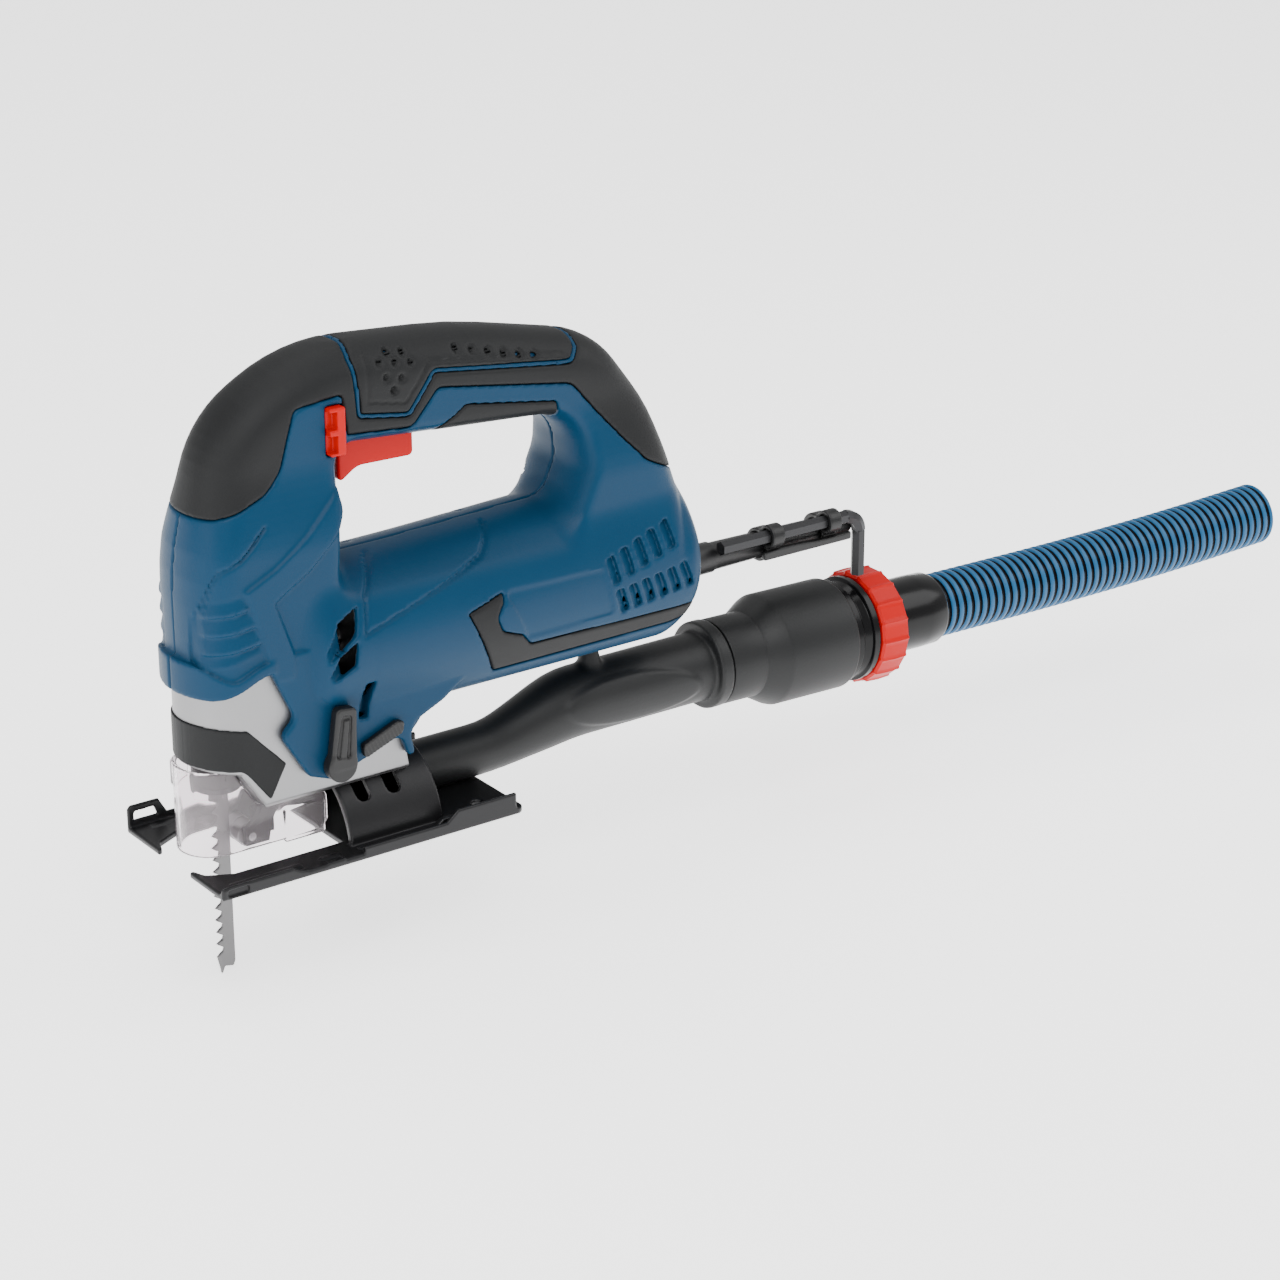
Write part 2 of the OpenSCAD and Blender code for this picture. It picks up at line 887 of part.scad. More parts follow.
module base_plate() {
    bridge_x0 = -6.6;
    bridge_x1 = 40;
    color(BLACK)
    difference() {
        union() {
            // flat sole with clipped rear corners
            difference() {
                linear_extrude(plate_t)
                    polygon([[-base_half_l, -base_half_w], [base_half_l - 4, -base_half_w],
                             [base_half_l, -base_half_w + 4], [base_half_l, base_half_w - 4],
                             [base_half_l - 4, base_half_w], [-base_half_l, base_half_w]]);
                translate([0, 0, -1])
                    linear_extrude(plate_t + 2)
                        blade_opening();
            }
            // side rims, higher behind the gear case
            for (side = [-1, 1])
                slab([[-base_half_l, 0], [-base_half_l, 4.5], [-61, rim_h], [30, rim_h], [35, 9],
                      [base_half_l - 4, 9], [base_half_l - 4, 0]],
                     side < 0 ? -base_half_w : base_half_w - 1.6,
                     side < 0 ? -base_half_w + 1.6 : base_half_w);
            // stiffening rails, lower beside the blade opening
            for (side = [-1, 1])
                slab([[-58, 0], [-58, 3], [28, 3], [31, 5], [base_half_l - 6, 5], [base_half_l - 6, 0]],
                     side < 0 ? -32 : 29.4, side < 0 ? -29.4 : 32);
            // round bridge
            intersection() {
                difference() {
                    along_x(bridge_x0, bridge_x1, bridge_r);
                    along_x(bridge_x0 - 1, bridge_x1 + 1, bridge_r - 2.6);
                }
                box([-40, -40, 0], [60, 40, 40]);
            }
            // raised loop at the front of the right rim
            difference() {
                slab([[-base_half_l, 0], [-base_half_l, 9.5], [-63.5, 11], [-52, 11], [-48, 4], [-48, 0]],
                     base_half_w - 1.6, base_half_w);
                slab([[-62.5, 4.5], [-62.5, 8.5], [-54, 8.5], [-52, 4.5]], 30, 40);
            }
        }
        // slots for the tilt screws, through the bridge
        for (x = [3, 16], a = [-48:6:48])
            rotate([a, 0, 0])
                along_z(15, 40, 3.2, x);
        // fence passages through the rims and rails
        for (x = [-29.5, -13.5])
            box([x - 0, -40, plate_t], [x + 8, 40, 5.2]);
        // fixing hole for a fence screw
        along_z(-1, 10, 2.1, 52, 22);
        along_z(-1, 10, 2.1, 52, -22);
    }
}

module tilt_screws() {
    color(STEEL)
    for (x = [3, 16])
        difference() {
            union() {
                along_z(bridge_r - 4.2, 44, 2.5, x);
                along_z(bridge_r - 7.4, bridge_r - 4.2, 4.2, x);
            }
            translate([x, 0, bridge_r - 8])
                cylinder(r = key_r, h = 3, $fn = 6);
        }
}

module clamp_washer() {
    color(STEEL)
    difference() {
        intersection() {
            along_x(-3, 22, bridge_r - 2.7, $fn = 240);
            box([-10, -6.5, bridge_r - 4.2], [40, 6.5, 40]);
        }
        for (x = [3, 16])
            along_z(10, 60, 2.5, x);
    }
}

// ---- suction line ---------------------------------------------------------------------------------

duct_front_z = 12.7;
duct_front_r = 10;

module duct_run(front_r, bend_r, rear_r, extend) {
    bend_a = [72, duct_front_z];
    bend_b = [106, duct_z];
    bend_len = norm(bend_b - bend_a);
    bend_angle = atan2(bend_b.y - bend_a.y, bend_b.x - bend_a.x);
    along_x(27 - extend, bend_a.x, front_r, 0, duct_front_z);
    translate([bend_a.x, 0, bend_a.y])
        rotate([0, 90 - bend_angle, 0])
            cylinder(r1 = front_r, r2 = bend_r, h = bend_len);
    translate([bend_a.x, 0, bend_a.y])
        sphere(front_r + 0.5);
    translate([bend_b.x, 0, bend_b.y])
        sphere(bend_r - 0.4);
    along_x(bend_b.x, line_x + 6 + extend, rear_r, 0, duct_z);
}

module suction_duct() {
    color(BLACK)
    difference() {
        union() {
            duct_run(duct_front_r, 13.2, duct_r, 0);
            // plug that closes the rear of the bridge
            intersection() {
                along_x(34, 40, bridge_r - 2.7);
                box([30, -30, plate_t + 0.05], [50, 30, 30]);
            }
            along_x(line_x, line_x + 6, 17.8, 0, duct_z);
            // locating peg below the housing
            translate([119.5, 0, duct_z + 10])
                cylinder(r1 = 6, r2 = 2.8, h = 12);
        }
        duct_run(duct_front_r - 2, 11, duct_r - 2, 1);
    }
}

module hose_adapter() {
    color(BLACK)
    on_line()
        difference() {
            union() {
                along_x(6.4, large_x - 8, 17.4);
                translate([large_x - 8, 0, 0])
                    rotate([0, 90, 0])
                        cylinder(r1 = 18.4, r2 = 22.8, h = 8);
                along_x(large_x, large_x + 34, 22.8);
            }
            along_x(0, large_x + 40, 15.4);
            along_x(large_x + 1, large_x + 40, 19.4);
        }
}

module hose_neck() {
    color(BLACK)
    on_line() {
        line_tube(large_x + 20, ring_x - 0.2, 19.35, 16);
        line_tube(large_x + 34.3, large_x + 37, 21.6, 16);
        line_tube(ring_x - 3.6, ring_x - 0.8, 21.8, 16);
        line_tube(ring_x - 1.2, ring_x + 14.4, 17.6, 14.5);
    }
}

module lock_ring() {
    color(RED)
    on_line()
        difference() {
            union() {
                along_x(ring_x, ring_x + 13.6, 23);
                for (a = [0:20:340])
                    rotate([a, 0, 0])
                        box([ring_x + 0.8, -1.1, 21.5], [ring_x + 12.8, 1.1, 23.9]);
            }
            along_x(ring_x - 5, ring_x + 20, 17.6 + FIT);
        }
}

module hose_cuff() {
    color(BLACK)
    on_line()
        difference() {
            union() {
                along_x(cuff_x, cuff_end, 15.4);
                along_x(cuff_x - 5, cuff_x + 0.5, 14.45);
            }
            along_x(cuff_x - 10, cuff_end + 5, 11.6);
        }
}

// Route of the hose's axis behind the cuff, [x, z]
HOSE_ROUTE = [
    [292, 18.9], [297, 18.8], [309, 18.6], [321, 18.4], [333, 18.2], [345, 18.0], [357, 17.9],
    [369, 17.8], [381, 17.8], [393, 17.8], [405, 17.9], [417, 18.0], [429, 18.2], [441, 18.5],
    [453, 18.8], [465, 19.2], [477, 19.6], [483, 19.8]];

function ring_points(p, d, r, sides) =
    let (t = unit(d), up = [-t.y, t.x])
    [for (k = [0:sides - 1]) let (a = 360 * k / sides)
        [p.x + up.x * r * cos(a), r * sin(a), p.y + up.y * r * cos(a)]];

module suction_hose() {
    sides = 12;
    n = len(HOSE_ROUTE);
    rings = [for (i = [0:n - 1]) each ring_points(
        HOSE_ROUTE[i], HOSE_ROUTE[min(i + 1, n - 1)] - HOSE_ROUTE[max(i - 1, 0)], hose_d / 2, sides)];
    color(BLUE)
    polyhedron(rings, concat(
        [[for (k = [0:sides - 1]) k]],
        [for (i = [0:n - 2], k = [0:sides - 1])
            [i * sides + k, (i + 1) * sides + k,
             (i + 1) * sides + (k + 1) % sides, i * sides + (k + 1) % sides]],
        [[for (k = [sides - 1:-1:0]) (n - 1) * sides + k]]));
}

// ---- cable sleeve and key -----------------------------------------------------------------------

sleeve_z = 66.7;

module cable_sleeve() {
    color(BLACK)
    difference() {
        union() {
            along_x(body_rear - 4, body_rear + 22, 6.4, 0, sleeve_z);
            along_x(body_rear - 11.5, body_rear - 4, 7.1, 0, sleeve_z);
            translate([body_rear + 22, 0, sleeve_z])
                rotate([0, 90, 0])
                    cylinder(r1 = 5.6, r2 = 4.4, h = 70);
        }
        along_x(100, 300, 3.2, 0, sleeve_z);
    }
}

module key_holder() {
    color(BLACK)
    difference() {
        union() {
            for (x = [201, 230]) {
                along_x(x, x + 6, 7, 0, sleeve_z);
                along_x(x, x + 6, 4.8, key_y, key_z);
            }
            box([198, -9.5, 62.5], [243, -6.6, 66.5]);
        }
        translate([body_rear + 22, 0, sleeve_z])
            rotate([0, 90, 0])
                cylinder(r1 = 5.6, r2 = 4.4, h = 70);
        along_x(190, 250, 2.96, key_y, key_z);
    }
}

module hex_key() {
    bend = 7;
    key_x1 = 248;
    color([0.15, 0.15, 0.16]) {
        translate([178, key_y, key_z])
            rotate([0, 90, 0])
                cylinder(r = key_r, h = key_x1 - bend - 178, $fn = 6);
        translate([key_x1 - bend, key_y, key_z - bend])
            rotate([90, 0, 0])
                rotate_extrude(angle = 90, $fn = 48)
                    translate([bend, 0])
                        rotate(30)
                            circle(r = key_r, $fn = 6);
        translate([key_x1, key_y, 46])
            cylinder(r = key_r, h = key_z - bend - 46, $fn = 6);
    }
}

// ---- nodes ----------------------------------------------------------------------------------------

base_plate();
suction_duct();
hose_adapter();
hose_neck();
lock_ring();
hose_cuff();
suction_hose();
housing_left();
housing_right();
gear_case();
front_band();
nose_grip();
top_grip();
finger_grip();
bumper_left();
bumper_right();
trigger();
lock_button();
switch_module();
stator();
armature();
commutator();
cooling_fan();
front_bearing();
rear_bearing();
carbon_brushes();
brush_holders();
drive_gear();
gear_axle();
plunger();
lower_bush();
upper_bush();
blade_clamp();
clamp_ring();
saw_blade();
roller_arm();
guide_roller();
roller_pin();
orbit_lever();
blower_slider();
chip_guard();
tilt_screws();
clamp_washer();
housing_screws();
cable_sleeve();
key_holder();
hex_key();
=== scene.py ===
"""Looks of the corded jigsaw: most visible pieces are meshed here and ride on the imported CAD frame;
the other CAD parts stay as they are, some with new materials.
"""
import math

import bpy
import numpy as np
from mathutils import Matrix, Vector


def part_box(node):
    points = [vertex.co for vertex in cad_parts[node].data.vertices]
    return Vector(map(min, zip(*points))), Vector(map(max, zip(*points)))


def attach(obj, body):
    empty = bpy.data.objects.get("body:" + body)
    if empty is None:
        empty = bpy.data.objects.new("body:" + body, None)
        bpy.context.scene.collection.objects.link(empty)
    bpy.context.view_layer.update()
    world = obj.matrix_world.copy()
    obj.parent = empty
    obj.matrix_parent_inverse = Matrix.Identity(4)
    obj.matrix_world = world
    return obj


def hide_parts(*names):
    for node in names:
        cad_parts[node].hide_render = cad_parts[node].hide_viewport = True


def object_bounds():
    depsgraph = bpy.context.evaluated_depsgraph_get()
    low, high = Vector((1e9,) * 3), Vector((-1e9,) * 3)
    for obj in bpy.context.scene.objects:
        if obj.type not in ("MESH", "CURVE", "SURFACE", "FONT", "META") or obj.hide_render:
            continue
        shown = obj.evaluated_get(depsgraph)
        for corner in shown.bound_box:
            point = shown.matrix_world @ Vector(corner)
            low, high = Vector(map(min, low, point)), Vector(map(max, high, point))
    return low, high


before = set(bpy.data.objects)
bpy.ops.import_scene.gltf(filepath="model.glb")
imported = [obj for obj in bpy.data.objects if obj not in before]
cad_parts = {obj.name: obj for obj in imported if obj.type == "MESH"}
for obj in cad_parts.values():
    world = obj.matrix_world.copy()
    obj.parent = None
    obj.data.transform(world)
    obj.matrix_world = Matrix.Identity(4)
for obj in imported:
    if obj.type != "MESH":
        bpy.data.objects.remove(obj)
cad_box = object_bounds()
MM = 0.001
FLOOR_WHITE = (0.93, 0.93, 0.93)
FLOOR_ROUGHNESS = 0.6
CLEAR_TINT = (0.93, 0.87, 0.90)


def node_range(node, axis):
    """Lowest and highest place of a CAD node along one axis, in millimetres."""
    low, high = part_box(node)
    return low[axis] / MM, high[axis] / MM


# ---- camera and light ------------------------------------------------------------

def make_camera():
    """Camera at the front left, a little above the tool."""
    azimuth = math.radians(36)
    elevation = math.radians(22)
    distance = 1.333
    target = Vector((0.144, 0, 0.0392))
    level = math.cos(elevation)
    direction = Vector((-math.sin(azimuth) * level, -math.cos(azimuth) * level, math.sin(elevation)))
    data = bpy.data.cameras.new("camera")
    data.lens = 95.6
    data.sensor_width = 36
    data.clip_end = 20
    camera = bpy.data.objects.new("camera", data)
    camera.location = target + distance * direction
    camera.rotation_euler = (-direction).to_track_quat("-Z", "Y").to_euler()
    bpy.context.scene.collection.objects.link(camera)
    bpy.context.scene.camera = camera


def area_light(name, place, size, power, aim=(0.1, 0, 0.08)):
    """Square soft light that points at the tool."""
    data = bpy.data.lights.new(name, "AREA")
    data.energy = power
    data.size = size
    light = bpy.data.objects.new(name, data)
    light.location = place
    light.rotation_euler = (Vector(aim) - Vector(place)).to_track_quat("-Z", "Y").to_euler()
    bpy.context.scene.collection.objects.link(light)


def make_studio():
    """Pale floor and soft lights all round, as for a cut-out product picture."""
    world = bpy.data.worlds.new("studio")
    world.use_nodes = True
    background = world.node_tree.nodes["Background"]
    background.inputs["Color"].default_value = (1, 1, 1, 1)
    background.inputs["Strength"].default_value = 0.75
    bpy.context.scene.world = world
    area_light("key", (-0.5, -0.9, 1.3), 0.9, 16)
    area_light("front", (-1.4, -0.2, 0.6), 0.9, 9)
    area_light("rear", (1.0, -0.5, 0.9), 0.8, 7)
    area_light("top", (0.1, 0.3, 1.6), 1.2, 10)
    mesh = bpy.data.meshes.new("floor")
    reach = 6
    level = cad_box[0][2] - 0.0005
    mesh.from_pydata([(-reach, -reach, level), (reach, -reach, level), (reach, reach, level),
                      (-reach, reach, level)], [], [(0, 1, 2, 3)])
    floor = bpy.data.objects.new("floor", mesh)
    bpy.context.scene.collection.objects.link(floor)
    material, nodes, links, shader = new_material("floor_paint", FLOOR_WHITE, FLOOR_ROUGHNESS)
    add_grain(nodes, links, shader, FLOOR_WHITE, FLOOR_ROUGHNESS, scale=30, contrast=0.01,
              bump=0.0)
    shader.inputs["Emission Color"].default_value = (1, 1, 1, 1)
    shader.inputs["Emission Strength"].default_value = 1.7
    mesh.materials.append(material)


# ---- materials ---------------------------------------------------------------------

def new_material(name, colour, roughness, metallic=0.0):
    """Plain material, with its nodes, links and shader for further work."""
    material = bpy.data.materials.new(name)
    material.use_nodes = True
    nodes = material.node_tree.nodes
    shader = nodes["Principled BSDF"]
    shader.inputs["Base Color"].default_value = (*colour, 1)
    shader.inputs["Roughness"].default_value = roughness
    shader.inputs["Metallic"].default_value = metallic
    return material, nodes, material.node_tree.links, shader


def add_grain(nodes, links, shader, colour, roughness, scale, contrast, bump, stretch=(1, 1, 1)):
    """Fine noise for the colour, the roughness and the surface, in the object's own metres."""
    place = nodes.new("ShaderNodeTexCoord")
    mapping = nodes.new("ShaderNodeMapping")
    mapping.inputs["Scale"].default_value = stretch
    links.new(place.outputs["Object"], mapping.inputs["Vector"])
    fine = nodes.new("ShaderNodeTexNoise")
    fine.inputs["Scale"].default_value = scale
    fine.inputs["Detail"].default_value = 3
    links.new(mapping.outputs["Vector"], fine.inputs["Vector"])
    broad = nodes.new("ShaderNodeTexNoise")
    broad.inputs["Scale"].default_value = 28
    broad.inputs["Detail"].default_value = 4
    links.new(place.outputs["Object"], broad.inputs["Vector"])
    tone = nodes.new("ShaderNodeMix")
    tone.data_type = "RGBA"
    tone.inputs["A"].default_value = (*[c * (1 - contrast) for c in colour], 1)
    tone.inputs["B"].default_value = (*[min(1, c * (1 + contrast)) for c in colour], 1)
    links.new(broad.outputs["Fac"], tone.inputs["Factor"])
    links.new(tone.outputs["Result"], shader.inputs["Base Color"])
    rough = nodes.new("ShaderNodeMapRange")
    rough.inputs["To Min"].default_value = max(0.02, roughness - 0.06)
    rough.inputs["To Max"].default_value = roughness + 0.06
    links.new(broad.outputs["Fac"], rough.inputs["Value"])
    links.new(rough.outputs["Result"], shader.inputs["Roughness"])
    if bump > 0:
        relief = nodes.new("ShaderNodeBump")
        relief.inputs["Strength"].default_value = bump
        relief.inputs["Distance"].default_value = 0.0002
        links.new(fine.outputs["Fac"], relief.inputs["Height"])
        links.new(relief.outputs["Normal"], shader.inputs["Normal"])


def grained(name, colour, roughness, metallic=0.0, scale=2500, contrast=0.05, bump=0.25,
            stretch=(1, 1, 1), shine=0.5):
    """Opaque material with a fine grain."""
    material, nodes, links, shader = new_material(name, colour, roughness, metallic)
    shader.inputs["Specular IOR Level"].default_value = shine
    add_grain(nodes, links, shader, colour, roughness, scale, contrast, bump, stretch)
    return material


def clear_plastic():
    """See-through material of the chip guard."""
    material, nodes, links, shader = new_material("clear_polycarbonate", CLEAR_TINT, 0.08)
    add_grain(nodes, links, shader, CLEAR_TINT, 0.1, scale=700, contrast=0.03, bump=0.03)
    shader.inputs["Transmission Weight"].default_value = 0.93
    shader.inputs["IOR"].default_value = 1.3
    return material


def make_materials():
    """All materials, by the name that the pieces ask for."""
    return {
        "blue": grained("blue_nylon", (0.0004, 0.030, 0.072), 0.42, bump=0.35, scale=2200,
                        contrast=0.08, shine=0.16),
        "rubber": grained("grip_rubber", (0.0065, 0.0070, 0.0076), 0.55, bump=0.3, scale=1800,
                          contrast=0.1, shine=0.22),
        "silver": grained("cast_case", (0.27, 0.27, 0.275), 0.42, metallic=1.0, bump=0.35, scale=1500,
                          contrast=0.12),
        "plate": grained("black_plate", (0.010, 0.010, 0.011), 0.36, metallic=0.5, bump=0.3),
        "black": grained("black_plastic", (0.006, 0.006, 0.0065), 0.42, bump=0.25, shine=0.35),
        "gloss": grained("black_gloss", (0.003, 0.003, 0.0034), 0.2, bump=0.08, shine=0.2),
        "adapter": grained("moulded_rubber", (0.0075, 0.0080, 0.0085), 0.48, bump=0.3, scale=1500,
                           contrast=0.1, shine=0.3),
        "red": grained("red_plastic", (0.44, 0.0006, 0.0005), 0.36, bump=0.15, shine=0.15),
        "hose": grained("hose_blue", (0.006, 0.085, 0.20), 0.36, bump=0.12, shine=0.3),
        "steel": grained("ground_steel", (0.36, 0.36, 0.37), 0.3, metallic=1.0, bump=0.3,
                         scale=900, stretch=(1, 1, 12)),
        "blade": grained("blade_steel", (0.15, 0.148, 0.15), 0.36, metallic=1.0, bump=0.35,
                         scale=700, stretch=(1, 1, 14), contrast=0.12),
        "dark_steel": grained("black_oxide_steel", (0.03, 0.03, 0.032), 0.4, metallic=0.7),
        "copper": grained("copper", (0.70, 0.33, 0.18), 0.35, metallic=1.0),
        "bronze": grained("bronze", (0.50, 0.33, 0.14), 0.4, metallic=1.0),
        "carbon": grained("carbon", (0.03, 0.03, 0.03), 0.6),
        "clear": clear_plastic(),
    }


# ---- solids as distance fields ---------------------------------------------------

class Grid:
    """A block of sample points, in millimetres."""

    def __init__(self, low, high, step):
        self.step = step
        rows = [np.arange(a - step, b + 2 * step, step) for a, b in zip(low, high)]
        self.origin = np.array([row[0] for row in rows])
        self.x = rows[0][:, None, None].astype(np.float32)
        self.y = rows[1][None, :, None].astype(np.float32)
        self.z = rows[2][None, None, :].astype(np.float32)


def unit(v):
    """The vector at length 1."""
    return v / np.linalg.norm(v)


def rounded(corners):
    """Outline from [u, v, radius] corners, with arcs at the rounded ones."""
    out = []
    for i, (u, v, radius) in enumerate(corners):
        b = np.array([u, v])
        a = np.array(corners[i - 1][:2])
        c = np.array(corners[(i + 1) % len(corners)][:2])
        if radius == 0:
            out.append(b)
            continue
        p = unit(a - b)
        q = unit(c - b)
        half = math.acos(float(p @ q)) / 2
        centre = b + unit(p + q) * radius / math.sin(half)
        start = b + p * radius / math.tan(half) - centre
        end = b + q * radius / math.tan(half) - centre
        first = math.atan2(start[1], start[0])
        turn = (math.atan2(end[1], end[0]) - first + math.pi) % (2 * math.pi) - math.pi
        count = max(2, math.ceil(abs(turn) / 0.12))
        for k in range(count + 1):
            angle = first + turn * k / count
            out.append(centre + radius * np.array([math.cos(angle), math.sin(angle)]))
    return np.array(out)


def path_distance(u, v, points, closed=False):
    """Distance to a line through the points."""
    points = np.array(points, float)
    ends = np.roll(points, -1, 0) if closed else points[1:]
    starts = points if closed else points[:-1]
    best = None
    for a, b in zip(starts, ends):
        e = b - a
        t = np.clip(((u - a[0]) * e[0] + (v - a[1]) * e[1]) / max(1e-9, float(e @ e)), 0, 1)
        d = (u - a[0] - t * e[0]) ** 2 + (v - a[1] - t * e[1]) ** 2
        best = d if best is None else np.minimum(best, d)
    return np.sqrt(best)


def outline(u, v, points):
    """Signed distance to a closed outline, negative inside."""
    points = np.array(points, float)[:, :2]
    inside = None
    for a, b in zip(points, np.roll(points, -1, 0)):
        rise = b[1] - a[1]
        if abs(rise) < 1e-9:
            continue
        hit = ((a[1] <= v) != (b[1] <= v)) & (u < a[0] + (v - a[1]) * (b[0] - a[0]) / rise)
        inside = hit if inside is None else inside ^ hit
    return np.where(inside, -1, 1) * path_distance(u, v, points, closed=True)


def meet(a, b, radius=0.0):
    """Overlap of two solids, with the edge between them rounded."""
    if radius == 0:
        return np.maximum(a, b)
    p = a + radius
    q = b + radius
    return np.minimum(np.maximum(p, q), 0) + np.hypot(np.maximum(p, 0), np.maximum(q, 0)) - radius


def cut(a, b, radius=0.0):
    """The first solid without the second."""
    return meet(a, -b, radius)


def join(a, b, radius=0.0):
    """Two solids as one, with a fillet between them."""
    if radius == 0:
        return np.minimum(a, b)
    h = np.clip(0.5 + 0.5 * (b - a) / radius, 0, 1)
    return b + (a - b) * h - radius * h * (1 - h)


def slab(g, points, y0, y1, edge=0.0):
    """Side-view outline from y0 to y1."""
    return meet(outline(g.x, g.z, points), np.maximum(y0 - g.y, g.y - y1), edge)


def block(g, low, high, edge=0.0):
    """Box between two corners."""
    sides = [np.maximum(a - at, at - b) for a, b, at in zip(low, high, (g.x, g.y, g.z))]
    return meet(meet(sides[0], sides[1], edge), sides[2], edge)


def rod(u, v, w, radius, start, end, edge=0.0):
    """Cylinder: u and v run across its axis and w along it."""
    return meet(np.hypot(u, v) - radius, np.maximum(start - w, w - end), edge)


def smooth_step(value):
    """Rises smoothly from 0 to 1 as the value does."""
    t = np.clip(value, 0, 1)
    return t * t * (3 - 2 * t)


def surface_net(field, g):
    """Points and quads of the surface where the field is zero."""
    field = np.ascontiguousarray(np.broadcast_to(field, (g.x.size, g.y.size, g.z.size)), np.float32)
    inside = field < 0
    cells = tuple(n - 1 for n in field.shape)
    total = np.zeros(cells + (3,), np.float32)
    number = np.zeros(cells, np.float32)
    crossings = []
    for axis in range(3):
        near = [slice(None)] * 3
        far = [slice(None)] * 3
        near[axis] = slice(0, -1)
        far[axis] = slice(1, None)
        a = field[tuple(near)]
        b = field[tuple(far)]
        crossing = inside[tuple(near)] != inside[tuple(far)]
        t = np.where(crossing, a / np.where(crossing, a - b, 1), 0)
        crossings.append(crossing)
        others = [k for k in range(3) if k != axis]
        for p in (0, 1):
            for q in (0, 1):
                part = [slice(None)] * 3
                part[others[0]] = slice(p, p + cells[others[0]])
                part[others[1]] = slice(q, q + cells[others[1]])
                part = tuple(part)
                number += crossing[part]
                total[..., axis] += t[part]
                total[..., others[0]] += p * crossing[part]
                total[..., others[1]] += q * crossing[part]
    where = number > 0
    index = np.full(cells, -1, np.int64)
    index[where] = np.arange(int(where.sum()))
    corner = np.argwhere(where)
    points = g.origin + g.step * (corner + total[where] / number[where][:, None])
    quads = []
    for axis in range(3):
        p, q = [k for k in range(3) if k != axis]
        inner = [slice(None)] * 3
        inner[p] = slice(1, -1)
        inner[q] = slice(1, -1)
        hit = np.argwhere(crossings[axis][tuple(inner)])
        hit[:, p] += 1
        hit[:, q] += 1
        ring = []
        for dp, dq in ((-1, -1), (0, -1), (0, 0), (-1, 0)):
            cell = hit.copy()
            cell[:, p] += dp
            cell[:, q] += dq
            ring.append(index[cell[:, 0], cell[:, 1], cell[:, 2]])
        quad = np.stack(ring, 1)
        outward = inside[hit[:, 0], hit[:, 1], hit[:, 2]]
        if axis == 1:
            outward = ~outward
        quad[~outward] = quad[~outward][:, ::-1]
        quads.append(quad)
    return points, np.concatenate(quads)


def new_piece(name, points, faces, material, body, replaced=()):
    """Mesh object from points in millimetres, riding on a CAD body."""
    mesh = bpy.data.meshes.new(name)
    mesh.from_pydata((np.array(points) * MM).tolist(), [], [list(map(int, f)) for f in faces])
    mesh.validate()
    mesh.polygons.foreach_set("use_smooth", [True] * len(mesh.polygons))
    mesh.materials.append(material)
    piece = bpy.data.objects.new(name, mesh)
    bpy.context.scene.collection.objects.link(piece)
    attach(piece, body)
    if replaced:
        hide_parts(*replaced)
    return piece


def field_piece(name, field, g, material, body, replaced=()):
    """Piece whose surface is where the field is zero."""
    points, faces = surface_net(field, g)
    return new_piece(name, points, faces, material, body, replaced)


# ---- turned pieces ---------------------------------------------------------------

def turned(name, profile, place, material, body, replaced=(), sides=96):
    """Closed [along, radius] profile turned about X, then put in place by a matrix."""
    profile = np.array(profile, float)
    angles = 2 * np.pi * np.arange(sides) / sides
    points = []
    for along, radius in profile:
        ring = np.stack([np.full(sides, along), radius * np.cos(angles), radius * np.sin(angles)], 1)
        points.append(ring)
    points = np.concatenate(points)
    points = points @ np.array(place.to_3x3()).T + np.array(place.translation)
    faces = []
    rows = len(profile)
    for i in range(rows):
        j = (i + 1) % rows
        for k in range(sides):
            m = (k + 1) % sides
            faces.append((i * sides + k, i * sides + m, j * sides + m, j * sides + k))
    piece = new_piece(name, points, faces, material, body, replaced)
    crisp(piece)
    return piece


def crisp(piece, width=0.25, angle=32):
    """Small bevels on the sharp edges, with the shading kept flat beside them."""
    bevel = piece.modifiers.new("edges", "BEVEL")
    bevel.width = width * MM
    bevel.segments = 2
    bevel.limit_method = "ANGLE"
    bevel.angle_limit = math.radians(angle)
    bevel.harden_normals = True


LINE_Z = 21.6  # axis of the duct's rear end


def line_frame():
    """The adapter line droops a little behind the duct's end."""
    droop = math.radians(1.3)
    place = Matrix.Rotation(droop, 4, "Y")
    place.translation = (172, 0, LINE_Z)
    return place


# ---- suction hose ----------------------------------------------------------------

HOSE_ROUTE = [
    (292, 18.9), (297, 18.8), (309, 18.6), (321, 18.4), (333, 18.2), (345, 18.0), (357, 17.9),
    (369, 17.8), (381, 17.8), (393, 17.8), (405, 17.9), (417, 18.0), (429, 18.2), (441, 18.5),
    (453, 18.8), (465, 19.2), (477, 19.6), (483, 19.8)]
HOSE_RADIUS = 13.5


